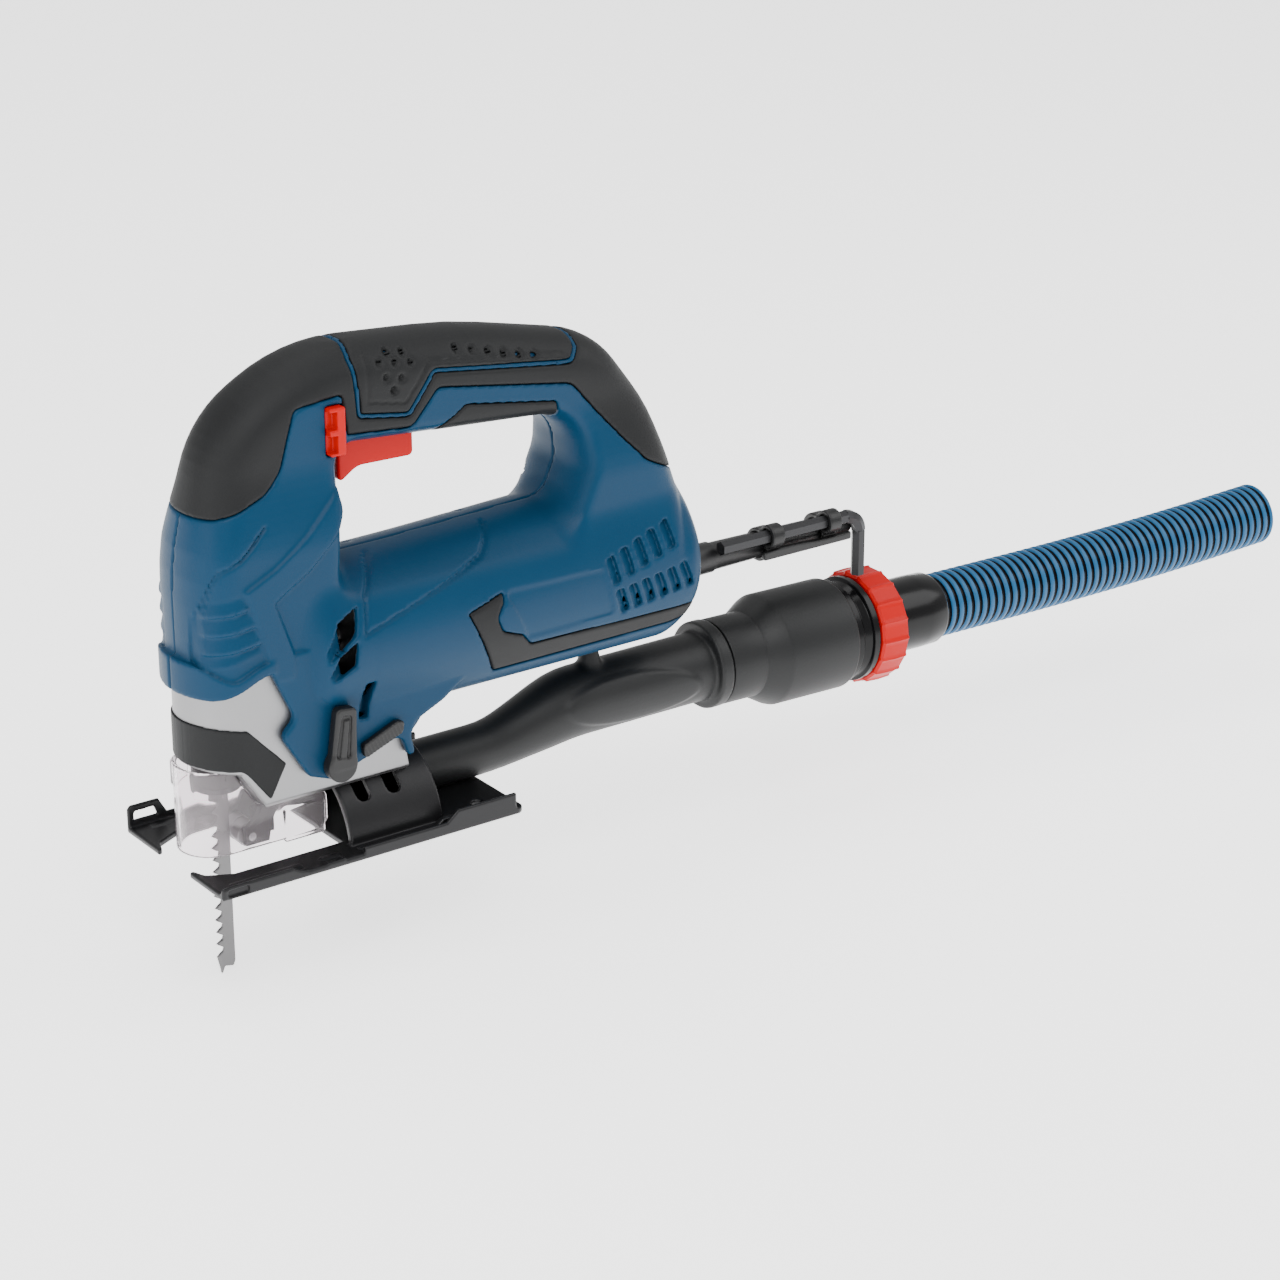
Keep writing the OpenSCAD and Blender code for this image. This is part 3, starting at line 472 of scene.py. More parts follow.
def make_hose(paint):
    """Ribbed hose: blue crests over black grooves, along the CAD route."""
    route = np.array(HOSE_ROUTE)
    steps = np.hypot(*np.diff(route, axis=0).T)
    travel = np.concatenate([[0], np.cumsum(steps)])
    length = travel[-1]
    ribs = 45
    per_rib = 12
    sides = 56
    stations = np.linspace(0, length, ribs * per_rib + 1)
    xs = np.interp(stations, travel, route[:, 0])
    zs = np.interp(stations, travel, route[:, 1])
    phase = (np.arange(len(stations)) % per_rib) / per_rib
    groove = smooth_step(1.6 - np.abs(phase - 0.5) * 4.6)
    radius = HOSE_RADIUS - 1.9 * groove
    angles = 2 * np.pi * np.arange(sides) / sides
    slope = np.gradient(zs, xs)
    points = []
    for x, z, r, m in zip(xs, zs, radius, slope):
        up = np.array([-m, 1]) / math.hypot(m, 1)
        ring = np.stack([x + up[0] * r * np.cos(angles), r * np.sin(angles),
                         z + up[1] * r * np.cos(angles)], 1)
        points.append(ring)
    points = np.concatenate(points)
    faces = []
    black_bands = []
    for i in range(len(stations) - 1):
        for k in range(sides):
            m = (k + 1) % sides
            faces.append((i * sides + k, i * sides + m, (i + 1) * sides + m, (i + 1) * sides + k))
            black_bands.append(groove[i] + groove[i + 1] > 0.9)
    last = (len(stations) - 1) * sides
    faces.append(tuple(range(sides - 1, -1, -1)))
    faces.append(tuple(last + k for k in range(sides)))
    black_bands += [True, True]
    hose = new_piece("suction_hose_ribbed", points, faces, paint["hose"], "base",
                     ["suction_hose"])
    hose.data.materials.append(paint["gloss"])
    hose.data.polygons.foreach_set("material_index", [int(b) for b in black_bands])


# ---- housing shapes ---------------------------------------------------------------

BARREL_R = 30
BARREL_Z = 77
CASE_HALF = 20
CASE_FRONT, _ = node_range("gear_case", 0)
PLUNGER_X = sum(node_range("upper_bush", 0)) / 2

BODY = rounded([
    (-59.5, 30, 0), (-59.8, 118, 110), (-46.5, 166, 46), (-8, 188.5, 70), (60, 183.5, 200),
    (119, 170.5, 36), (140.5, 142, 60), (154.5, 103, 60), (155, 60, 4), (148, 44, 12),
    (38, 44, 12), (30, 30, 0)])
BELOW_COLUMN = [(-80, 69), (-55, 69), (-46, 71.4), (-35, 76.2), (-28, 70), (-20, 66), (24, 38),
                (34, 43), (34, 0), (-80, 0)]
OPENING = rounded([(0, 100, 3), (3, 150, 6), (40, 147.5, 2), (102, 143.5, 14), (104, 124, 12),
                   (93, 98, 3)])
NOSE_ZONE = rounded([
    (-80, 134, 0), (-58, 134, 0), (-50, 134.5, 14), (-42, 136.5, 14), (-29.9, 141, 14),
    (-23.5, 148, 12), (-20.4, 158.6, 6), (-17, 169, 3), (2, 171, 1.5), (3.8, 155.8, 1),
    (31.2, 153.4, 4), (42.6, 166.2, 3), (100.5, 157, 8), (122.3, 131.6, 20), (131, 122.5, 8),
    (150, 113, 4), (175, 109, 0), (175, 230, 0), (-80, 230, 0)])
TOP_ZONE = rounded([
    (10, 215, 0), (9.5, 187, 6), (7.5, 183, 6), (8.2, 176, 8), (9.3, 161.8, 1.5), (30, 158.5, 3),
    (41, 172.8, 3), (101, 165, 3), (105.5, 169, 2), (108, 180, 4), (108, 215, 0)])
FINGER_ZONE = rounded([(42, 140, 0), (43.5, 151, 2), (54.2, 158, 2), (93.8, 151.7, 2),
                       (96, 146, 2), (97, 134, 0)])
BUMPER_ZONE = rounded([(45.2, 82.2, 1), (61.3, 87.2, 1), (61.3, 83, 2), (58.1, 77.9, 3),
                       (60.8, 71.9, 3), (70.2, 68.3, 3), (74.3, 63.3, 2), (160, 61.8, 0),
                       (160, 55, 0), (59.5, 54.5, 2)])
COVER = rounded([
    (-32, 82, 0), (20, 82, 0), (48, 56, 0), (37.5, 48.6, 8), (25.4, 43.2, 4), (23, 38, 3),
    (24.6, 31, 1), (22, 29.6, 1), (18, 41.5, 4), (14, 37.5, 4), (-5, 31, 3), (-9.4, 28.4, 3),
    (-20.4, 32.5, 3), (-31.2, 50.4, 4), (-25.2, 56.5, 4), (-34.5, 76.6, 2)])
CASE_SIDE = [(-61, 40), (-46, 38), (-36, 22.4), (24.6, 22.4), (22, 38), (20.5, 47), (-5, 47),
             (-6, 66.05), (-28, 66.05), (-28, 76.8), (-61, 76.8)]
SCREWS = [(-33, 152), (-8, 140), (116, 146), (143, 118), (136, 54), (106, 112)]
SLEEVE_Z = 66.7  # axis of the cable sleeve
LEVER_X = -9.5  # axis of the orbit lever
LEVER_Z = 35.5
SKIN = 1.6  # thickness of the rubber grips
BLUE_STEP = 0.8  # sample step of the blue shells
SLOT_PLAY = 0.3  # play round the trigger and the lock button
BEAD = 0.7  # half width of the blue line between the two grips


def nose_plan(g, half, front, rear, nose=19):
    """Plan of the column: half-ellipse in front, straight sides behind."""
    across = np.abs(g.y)
    ahead = np.maximum(front + nose - g.x, 0)
    bow = (np.hypot(ahead / nose, across / half) - 1) * nose
    return np.maximum(bow, g.x - rear)


def puffed(depth, across, half, edge):
    """Side-view shape whose edges round off over the given width."""
    inward = np.maximum(depth + edge, 0) / edge
    power = 2.25
    return (np.power(inward ** power + (np.abs(across) / half) ** power, 1 / power) - 1) * edge


def body_shape(g):
    """Outer form of both shells together, before grips and grooves."""
    half = 17.5 + 6 * smooth_step((150 - g.z) / 32)
    depth = outline(g.x, g.z, BODY)
    hole = outline(g.x, g.z, OPENING)
    frame_part = meet(puffed(depth, g.y, half, 17), puffed(-hole, g.y, half, 8.5), 1)
    frame_part = cut(frame_part, outline(g.x, g.z, BELOW_COLUMN), 0.5)
    barrel = rod(g.y, g.z - BARREL_Z, g.x, BARREL_R, -16, 155, 8)
    rise = 0.042 * (g.x - 12)
    swell = rod(g.y, g.z - BARREL_Z - rise, g.x, BARREL_R - 0.5, 0, 148, 8)
    barrel = join(barrel, swell, 1)
    return join(frame_part, barrel, 6)


def trigger_slot(g, room):
    """Opening for the trigger, with room round it."""
    return block(g, (5.6 - room, -7 - room, 130), (38 + room, 7 + room, 162))


def button_pocket(g, room):
    """Pocket for the lock button in the left flank, with room round it."""
    return block(g, (-4.7 - room, -30, 149.9 - room), (1.8 + room, -10 - room, 167.9 + room), 0.5)


def engrave(g, field, points, width, depth):
    """Groove along a side-view line, on the flanks only."""
    near = np.clip(1 - (path_distance(g.x, g.z, points) / (width / 2)) ** 2, 0, 1)
    return field + depth * near * smooth_step((np.abs(g.y) - 4) / 4)


def raise_area(g, field, points, height, edge=1.2):
    """Lifts the surface inside a side-view outline by height."""
    inside = smooth_step(0.5 - outline(g.x, g.z, points) / edge)
    return field - height * inside * smooth_step((np.abs(g.y) - 6) / 4)


def shell_details(g, field):
    """Creases, ribs, cover lines and recesses of the blue shells."""
    side = np.abs(g.y)
    # swept ribbon from the foot of the column up to the hand opening
    ribbon = [(-36, 84), (-43.5, 109), (-31, 115), (-17.7, 124), (-5.5, 134.6), (-2, 138), (0, 130),
              (-4.7, 122.8), (-16.7, 111.8), (-31.9, 102.6), (-24.2, 79.9), (-25, 72), (-33, 72)]
    field = raise_area(g, field, ribbon, 1.1, 1.6)
    # stepped ribs round the nose
    panel = outline(g.x, g.z, rounded([(-57.6, 106, 2), (-44.5, 108.6, 1), (-39.6, 98, 3),
                                       (-36.2, 84.4, 1), (-57.6, 79, 1)]))
    phase = ((106.5 - g.z + 0.14 * (g.x + 56)) / 7.1) % 1
    ledge = phase / 0.8 * smooth_step((1 - phase) / 0.2)
    field = field + (0.4 - 1.1 * ledge) * smooth_step(-panel / 1.6) * smooth_step((side - 3) / 3)
    # border that runs from the foot past the ribs and back under the nose grip
    border = [(-58.2, 78), (-57.4, 100), (-53.6, 113.3), (-51.4, 117), (-43.5, 120.7), (-33, 130)]
    field = engrave(g, field, border, 1.4, 0.8)
    # edge line of the smooth motor cover
    cover_line = [(18, 107.5), (11.8, 103.6), (4.7, 96.7), (1.8, 84.1), (26.2, 91), (57, 100.3),
                  (61.5, 103.5), (66, 107.5)]
    field = engrave(g, field, cover_line, 1.5, 0.9)
    # plain label recess
    label = rounded([(61.9, 86.9, 1.5), (106, 86.1, 2), (111.3, 67.3, 1.5), (72.7, 66.3, 1.5)])
    return raise_area(g, field, label, -0.6, 0.8)


def outlets(g):
    """Two triangular air outlets, each with a ramp in front, and the slit of the sawdust blower."""
    side = np.abs(g.y)
    slit = outline(g.x, g.z, [(1, 50), (4.5, 49.3), (6.6, 64.6), (2.2, 64.4)])
    cuts = np.maximum(slit, 19 - side)
    for tip, top, low, foot in (((-8.4, 90.4), (0.5, 94.3), (-1.8, 84.8), (-16.9, 73)),
                                ((-9.1, 78.8), (-1.6, 82.4), (-2.4, 73.3), (-14.6, 66.6))):
        mouth = outline(g.x, g.z, [tip, top, low])
        cuts = np.minimum(cuts, np.maximum(mouth, 15 - side))
        edge = unit(np.array(low) - np.array(tip))
        length = (foot[0] - tip[0]) * edge[1] - (foot[1] - tip[1]) * edge[0]
        along = 1 - ((g.x - tip[0]) * edge[1] - (g.z - tip[1]) * edge[0]) / length
        ramp = np.maximum(outline(g.x, g.z, [tip, low, foot]), 29.6 - 6.5 * np.clip(along, 0, 1) - side)
        cuts = np.minimum(cuts, ramp)
    return cuts


def vents(g, body):
    """Two rows of slanted blind louvres in the rear flanks."""
    cuts = None
    for x, z, pitch, rise, foot_x, foot_z, count in ((107.6, 89.3, 6.6, 2.05, 2.5, -10.3, 5),
                                                     (110.8, 76.2, 5.95, 0.83, 4.1, -9.8, 6)):
        for k in range(count):
            u = x + pitch * k
            v = z + rise * k
            louvre = rounded([(u, v, 0.8), (u + 3.9, v + 1.1, 0.8),
                              (u + foot_x + 3.9, v + foot_z + 0.8, 0.8), (u + foot_x, v + foot_z, 0.8)])
            across = np.clip((g.x - u - foot_x * (v - g.z) / 10.3) / 4, 0, 1)
            depth = 0.5 + 1.8 * across
            slot = np.maximum(outline(g.x, g.z, louvre), -(body + depth))
            cuts = slot if cuts is None else np.minimum(cuts, slot)
    return np.maximum(cuts, 12 - np.abs(g.y))


def inner_hollow(g, body):
    """Room for the motor, the gears and the wiring."""
    bay = rod(g.y, g.z - BARREL_Z, g.x, BARREL_R - 2.6, -7, 150)
    grip = np.maximum(np.maximum(body + 4.2, np.abs(g.y) - 14.5), 98 - g.z)
    case = np.maximum(nose_plan(g, CASE_HALF + 0.1, -56.7, -5.9), np.maximum(20 - g.z, g.z - 115.9))
    base_case = nose_plan(g, CASE_HALF + 0.1, CASE_FRONT - 0.1, 30)
    top_room = rod(g.x - PLUNGER_X, g.y, g.z, 6, 110, 146)
    cavity = np.minimum(np.minimum(bay, grip), np.minimum(case, top_room))
    lower = np.maximum(base_case, outline(g.x, g.z, CASE_SIDE))
    return np.minimum(cavity, lower)


def make_housing(paint):
    """Both shells from one field; only the right one gets screw recesses."""
    for side, name in ((-1, "housing_left"), (1, "housing_right")):
        low = (-62, -33 if side < 0 else 0, 26)
        high = (157, 0 if side < 0 else 33, 190)
        g = Grid(low, high, BLUE_STEP)
        body = body_shape(g)
        across = np.abs(g.y)
        cover = meet(outline(g.x, g.z, COVER), np.maximum(CASE_HALF + 0.1 - across, across - 24), 1)
        lip_low = 69 + 7.2 * smooth_step((g.x + 57) / 23)
        lip_top = lip_low + 4.6 + 8.5 * smooth_step((-47 - g.x) / 14)
        lip = meet(nose_plan(g, 24.8, -62.6, -33), np.maximum(lip_low - g.z, g.z - lip_top), 0.7)
        field = shell_details(g, body)
        field = join(np.minimum(field, cover), lip, 1)
        for zone in (NOSE_ZONE, FINGER_ZONE, BUMPER_ZONE):
            pocket = np.maximum(outline(g.x, g.z, zone), -(body + SKIN))
            if zone is NOSE_ZONE:
                bead = np.abs(outline(g.x, g.z, TOP_ZONE)) - BEAD
                pocket = np.maximum(pocket, -bead)
            field = np.maximum(field, -pocket)
        field = np.maximum(field, -outlets(g))
        field = np.maximum(field, -vents(g, body))
        field = np.maximum(field, -trigger_slot(g, SLOT_PLAY))
        field = np.maximum(field, -button_pocket(g, SLOT_PLAY))
        field = np.maximum(field, -inner_hollow(g, body))
        cable_entry = rod(g.y, g.z - SLEEVE_Z, g.x, 7.2, 143, 170)
        field = np.maximum(field, -cable_entry)
        if side > 0:
            for x, z in SCREWS:
                recess = rod(g.x - x, g.z - z, g.y, 3.4, 13, 60)
                field = np.maximum(field, -recess)
        seam = 0.12
        field = np.maximum(field, side * -g.y + seam)
        field_piece(name + "_shell", field, g, paint["blue"], "housing", [name])


def pits(g, field, places, radius, depth):
    """Small round dimples in the flanks of a grip."""
    across = np.abs(g.y)
    for x, z in places:
        near = np.hypot(g.x - x, g.z - z) / radius
        field = field + depth * smooth_step(1.4 - near) * smooth_step((across - 5) / 2)
    return field


def grip_piece(name, zones, box, step, paint, replaced, details=None, proud=0.15, gap=0.25):
    """Rubber skin over the body inside a side-view zone."""
    g = Grid(*box, step)
    body = body_shape(g)
    inside, outside = zones
    region = outline(g.x, g.z, inside) + gap
    if outside is not None:
        region = np.maximum(region, BEAD + 0.15 - outline(g.x, g.z, outside))
    field = body - proud
    if details is not None:
        field = details(g, field)
    field = meet(field, region, 0.8)
    field = np.maximum(field, np.maximum(-(body + SKIN), g.z - cad_box[1][2] / MM))
    field = np.maximum(field, -trigger_slot(g, SLOT_PLAY))
    field = np.maximum(field, -button_pocket(g, SLOT_PLAY))
    return field_piece(name, field, g, paint["rubber"], "housing", replaced)


def top_details(g, field):
    """Dimples: a triangle at the front and a long row, and the inset border of the pad."""
    triangle = [(23.7, 181.8), (30, 180.8)]
    triangle += [(19.3 + 6.4 * k, 179.1 - 0.9 * k) for k in range(3)]
    triangle += [(21.1 + 6.3 * k, 173.9 - 1.2 * k) for k in range(2)]
    triangle += [(23.9, 168.8)]
    row = [(52.2 + 6.6 * k, 178.4 - 1.62 * k) for k in range(6)]
    field = pits(g, field, triangle + row, 1.5, 1.2)
    border = [(13.5, 182), (13, 166.5), (28.5, 163.6), (39, 176.5), (98, 168.6)]
    return engrave(g, field, border, 1.2, 0.5)


def make_grips(paint):
    """The five rubber pieces that lie in the shells."""
    grip_piece("nose_grip_rubber", (NOSE_ZONE, TOP_ZONE), ((-62, -22, 100), (157, 22, 190)), 0.8,
               paint, ["nose_grip"])
    grip_piece("top_grip_rubber", (TOP_ZONE, None), ((4, -22, 150), (110, 22, 190)), 0.8, paint,
               ["top_grip"], top_details, gap=BEAD + 0.15)
    grip_piece("finger_grip_rubber", (FINGER_ZONE, None), ((44, -20, 132), (102, 20, 160)), 0.7,
               paint, ["finger_grip"])
    grip_piece("bumper_left_rubber", (BUMPER_ZONE, None), ((42, -33, 52), (157, -10, 90)), 0.8,
               paint, ["bumper_left"], proud=0.0)
    grip_piece("bumper_right_rubber", (BUMPER_ZONE, None), ((42, 10, 52), (157, 33, 90)), 0.8,
               paint, ["bumper_right"], proud=0.0)


# ---- gear case, band and guard ----------------------------------------------------

def make_gear_case(paint):
    """Cast case with its bores for the plunger, gear, axle and lever."""
    g = Grid((-61, -21, 21), (26, 21, 123), 0.6)
    across = np.abs(g.y)
    lower = meet(outline(g.x, g.z, CASE_SIDE), nose_plan(g, CASE_HALF, CASE_FRONT, 30), 0.8)
    lower = np.maximum(lower, (across - g.z) * math.sqrt(0.5) + 3.3)
    upper = np.maximum(nose_plan(g, CASE_HALF, -56.6, -6), np.maximum(62 - g.z, g.z - 115.8))
    boss = rod(g.x - PLUNGER_X, g.y, g.z, 9, 114, 122)
    field = np.minimum(np.minimum(lower, upper), boss)
    motor_z = 75
    gear_z = 93.9
    crank = np.maximum(nose_plan(g, 18.2, -54.6, -23), np.maximum(74.4 - g.z, g.z - 113.6))
    hollows = [
        rod(g.y, g.z, g.x, 28.5, -7.2, 60),
        rod(g.x - PLUNGER_X, g.y, g.z, 10.6, 0, 66),
        rod(g.x - PLUNGER_X, g.y, g.z, 8, 60, 74.4),
        rod(g.x - PLUNGER_X, g.y, g.z, 6, 70, 130),
        crank,
        rod(g.y, g.z - motor_z, g.x, 11, -15, -5),
        rod(g.y, g.z - motor_z, g.x, 6.5, -33, 0),
        rod(g.y, g.z - gear_z, g.x, 4.1, -24, -12),
        block(g, (-37, -9, 10), (-19, 9, 36)),
        block(g, (-3.5, -15, 42), (18, 15, 80)),
        rod(g.x - LEVER_X, g.z - LEVER_Z, -g.y, 4, 8, 30)]
    for hollow in hollows:
        field = np.maximum(field, -hollow)
    field_piece("gear_case_cast", field, g, paint["silver"], "housing", ["gear_case"])


def make_front_band(paint):
    """Dark rubber band round the nose of the gear case."""
    g = Grid((-62, -22, 24), (-26, 22, 60), 0.5)
    band = rounded([(-63, 41, 0), (-46, 39.5, 1), (-44, 38, 1), (-35, 25.9, 1), (-28, 39, 1),
                    (-43, 55, 1), (-46, 55.5, 1), (-63, 58, 0)])
    ring = np.maximum(nose_plan(g, CASE_HALF + 0.6, CASE_FRONT - 0.6, 20),
                      -nose_plan(g, CASE_HALF - 0.05, CASE_FRONT + 0.05, 30))
    field = meet(ring, outline(g.x, g.z, band), 0.4)
    field_piece("front_band_rubber", field, g, paint["rubber"], "housing", ["front_band"])


def guard_plan(g, half, rear):
    """Plan of the guard: half-circle in front, straight sides up to the rear."""
    middle = -48.9
    bow = np.hypot(np.minimum(g.x - middle, 0), g.y) - half
    return np.maximum(bow, g.x - rear)


def make_guard(paint):
    """Clear hood in front of the blade."""
    g = Grid((-64.4, -14.6, 4), (-6, 14.6, 40), 0.45)
    wall = np.maximum(guard_plan(g, 13, -7.5), -guard_plan(g, 11.4, 30))
    side = rounded([(-70, 5, 0), (-70, 39.4, 0), (-46.2, 37.4, 1), (-36.4, 21.9, 2), (-9, 20.8, 1),
                    (-7.5, 18, 1), (-7.5, 8, 1.5), (-12, 5, 2)])
    field = meet(wall, outline(g.x, g.z, side), 0.3)
    # clip box at the front and a tab at the rear of each flank
    across = np.abs(g.y)
    clip = meet(block(g, (-60, -20, 28.5), (-51, 20, 38.2), 0.6),
                np.maximum(guard_plan(g, 14.2, -7.5), -guard_plan(g, 12, 30)), 0.4)
    tab = meet(block(g, (-26, -20, 4), (-9, 20, 17.5), 0.8),
               np.maximum(12 - across, across - 13.8), 0.4)
    field = join(join(field, clip, 0.4), tab, 0.4)
    field_piece("chip_guard_hood", field, g, paint["clear"], "chip_guard", ["chip_guard"])


# ---- base plate ---------------------------------------------------------------------

def make_base(paint):
    """Pressed plate with rims, rails, the front loop and the bridge that the tool tilts on."""
    _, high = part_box("base_plate")
    half_l = high[0] / MM
    half_w = high[1] / MM
    thick = 2.5
    g = Grid((-half_l, -half_w, 0), (half_l, half_w, 28.4), 0.5)
    across = np.abs(g.y)
    plan = rounded([(-half_l, -half_w, 1), (-half_l, half_w, 1), (half_l, half_w, 4),
                    (half_l, -half_w, 4)])
    sheet = meet(outline(g.x, g.y, plan), np.maximum(-g.z, g.z - thick), 0.3)
    opening = rounded([(-70, -11.5, 0), (-63.4, -11.5, 1.5), (-61.5, -17, 2), (-52, -21.9, 5),
                       (-6.6, -21.9, 1), (-6.6, 21.9, 1), (-52, 21.9, 5), (-61.5, 17, 2),
                       (-63.4, 11.5, 1.5), (-70, 11.5, 0)])
    sheet = np.maximum(sheet, -outline(g.x, g.y, opening))
    rim_side = [(-half_l, 0), (-half_l, 4.5), (-61, 5), (-36, 5), (-31.5, 2.7), (-15, 2.7),
                (-9.5, 5), (30, 5), (35, 9), (half_l - 4, 9), (half_l - 4, 0)]
    rim = meet(outline(g.x, g.z, rim_side), np.maximum(half_w - 1.6 - across, across - half_w), 0.4)
    rail_side = [(-58, 0), (-58, 3), (28, 3), (31, 5), (half_l - 6, 5), (half_l - 6, 0)]
    rail = meet(outline(g.x, g.z, rail_side), np.maximum(29.4 - across, across - 32), 0.4)
    bridge = np.maximum(rod(g.y, g.z, g.x, 28.4, -6.6, 33, 0.4), -rod(g.y, g.z, g.x, 25.8, -20, 60))
    loop_side = [(-half_l, 0), (-half_l, 9.5), (-63.5, 11), (-52, 11), (-48, 4), (-48, 0)]
    loop = meet(outline(g.x, g.z, loop_side), np.maximum(half_w - 1.6 - g.y, g.y - half_w), 0.4)
    window = outline(g.x, g.z, rounded([(-62.5, 4.5, 0.6), (-62.5, 8.5, 0.6), (-54, 8.5, 0.6),
                                        (-52.5, 4.5, 0.6)]))
    loop = np.maximum(loop, -np.maximum(window, 30 - g.y))
    field = join(join(sheet, rim, 1.2), join(rail, bridge, 0), 1)
    field = np.minimum(field, loop)
    recess = block(g, (-62.5, -half_w - 1, 1), (-54, 1.2 - half_w, 3.6), 0.3)
    field = np.maximum(field, -recess)
    # nothing reaches past the CAD plate
    field = np.maximum(field, block(g, (-half_l, -half_w, 0), (half_l, half_w, 28.4)))
    for x in (3, 16):
        angle = np.degrees(np.arctan2(g.y, g.z))
        arc = np.hypot((np.abs(angle) - 48).clip(0) * 0.48, g.x - x) - 3
        field = np.maximum(field, -np.maximum(arc, 15 - np.hypot(g.y, g.z)))
    for x in (-29.5, -13.5):
        passage = block(g, (x, -40, thick), (x + 8, 40, 5.2))
        field = np.maximum(field, -np.maximum(passage, 28 - across))
    for y in (-22, 22):
        field = np.maximum(field, -rod(g.x - 52, g.y - y, g.z, 2.1, -2, 12))
    field_piece("base_plate_pressing", field, g, paint["plate"], "base", ["base_plate"])


def make_duct(paint):
    """Suction duct from the bridge of the plate to the adapter."""
    g = Grid((26, -26, 2.4), (178, 26, 45), 0.7)
    axis = rounded([(0, 12.7, 0), (72, 12.7, 60), (106, LINE_Z, 60), (200, LINE_Z, 0)])
    radius = 10 + 4 * smooth_step((g.x - 68) / 44)
    reach = np.hypot(path_distance(g.x, g.z, axis), g.y)
    ends = np.maximum(27 - g.x, g.x - 178)
    tube = meet(reach - radius, ends, 0.8)
    collar = rod(g.y, g.z - LINE_Z, g.x, 17.8, 172, 178, 1)
    plug = np.maximum(rod(g.y, g.z, g.x, 25.7, 28, 33, 0.5), 2.55 - g.z)
    along = np.clip((g.z - 31.6) / 12, 0, 1)
    peg = np.maximum(np.hypot(g.x - 119.5, g.y) - (6 - 3.2 * along), np.maximum(30 - g.z, g.z - 43.6))
    # raised oval on the flanks of the wide end
    u = (g.x - 132) / 34
    v = (g.z - 22 + 0.06 * (g.x - 132)) / 10.5
    oval = (np.hypot(u, v) - 1) * 10.5
    tube = tube - 0.9 * smooth_step(-oval / 1.5)
    field = join(join(tube, collar, 1.5), join(plug, peg, 0), 2)
    field = np.maximum(field, -np.maximum(reach - radius + 2, 20 - g.x))
    field_piece("suction_duct_moulding", field, g, paint["adapter"], "base", ["suction_duct"])


# ---- adapter line -----------------------------------------------------------------------

def make_adapter_line(paint):
    """Adapter, neck and cuff, turned about one drooping line, and the ring on them."""
    place = line_frame()
    turned("hose_adapter_rubber",
           [(6.4, 15.4), (6.4, 17.2), (7, 17.5), (22.8, 17.5), (24, 18.5), (31, 22.4), (32.5, 22.9),
            (65.2, 22.9), (66, 22.3), (66, 19.5), (33, 19.5), (32, 15.4)],
           place, paint["adapter"], "base", ["hose_adapter"])
    turned("hose_neck_gloss",
           [(52, 16), (52, 19.3), (66.1, 19.3), (66.2, 21.4), (69, 21.6), (69.3, 20.4), (71, 19.4),
            (74, 20.4), (74.5, 21.8), (77.2, 21.8), (77.4, 17.6), (92.4, 17.6), (92.4, 14.5),
            (78, 14.5), (78, 16)],
           place, paint["gloss"], "base", ["hose_neck"])
    turned("hose_cuff_tube",
           [(92.6, 11.6), (92.6, 14.9), (93.2, 15.3), (110, 15.4), (118.5, 15.1), (120, 14.4),
            (120, 13.6), (120, 11.6)],
           place, paint["gloss"], "base", ["hose_cuff"])
    make_lock_ring(place, paint)


def make_lock_ring(place, paint):
    """Red bayonet ring with eighteen flats, each with a raised edge."""
    count = 18
    per = 8
    points = []
    rows = [(78, 22.2), (78.8, 23.2), (84.8, 23.5), (90.8, 23.2), (91.6, 22.2), (91.6, 17.7),
            (78, 17.7)]
    sides = count * per
    for along, radius in rows:
        for k in range(sides):
            angle = 2 * math.pi * k / sides
            t = (k % per) / per
            flat = math.cos(math.pi / count) / math.cos((t - 0.5) * 2 * math.pi / count)
            ridge = 0.5 if k % per == 0 and radius > 20 else 0
            r = radius if radius < 20 else radius * flat + ridge
            points.append((along, r * math.cos(angle), r * math.sin(angle)))
    points = np.array(points) @ np.array(place.to_3x3()).T + np.array(place.translation)
    faces = []
    for i in range(len(rows)):
        j = (i + 1) % len(rows)
        for k in range(sides):
            m = (k + 1) % sides
            faces.append((i * sides + k, i * sides + m, j * sides + m, j * sides + k))
    ring = new_piece("lock_ring_ribbed", points, faces, paint["red"], "lock_ring", ["lock_ring"])
    crisp(ring, 0.15, 25)


# ---- controls, sleeve and key clips ---------------------------------------------------

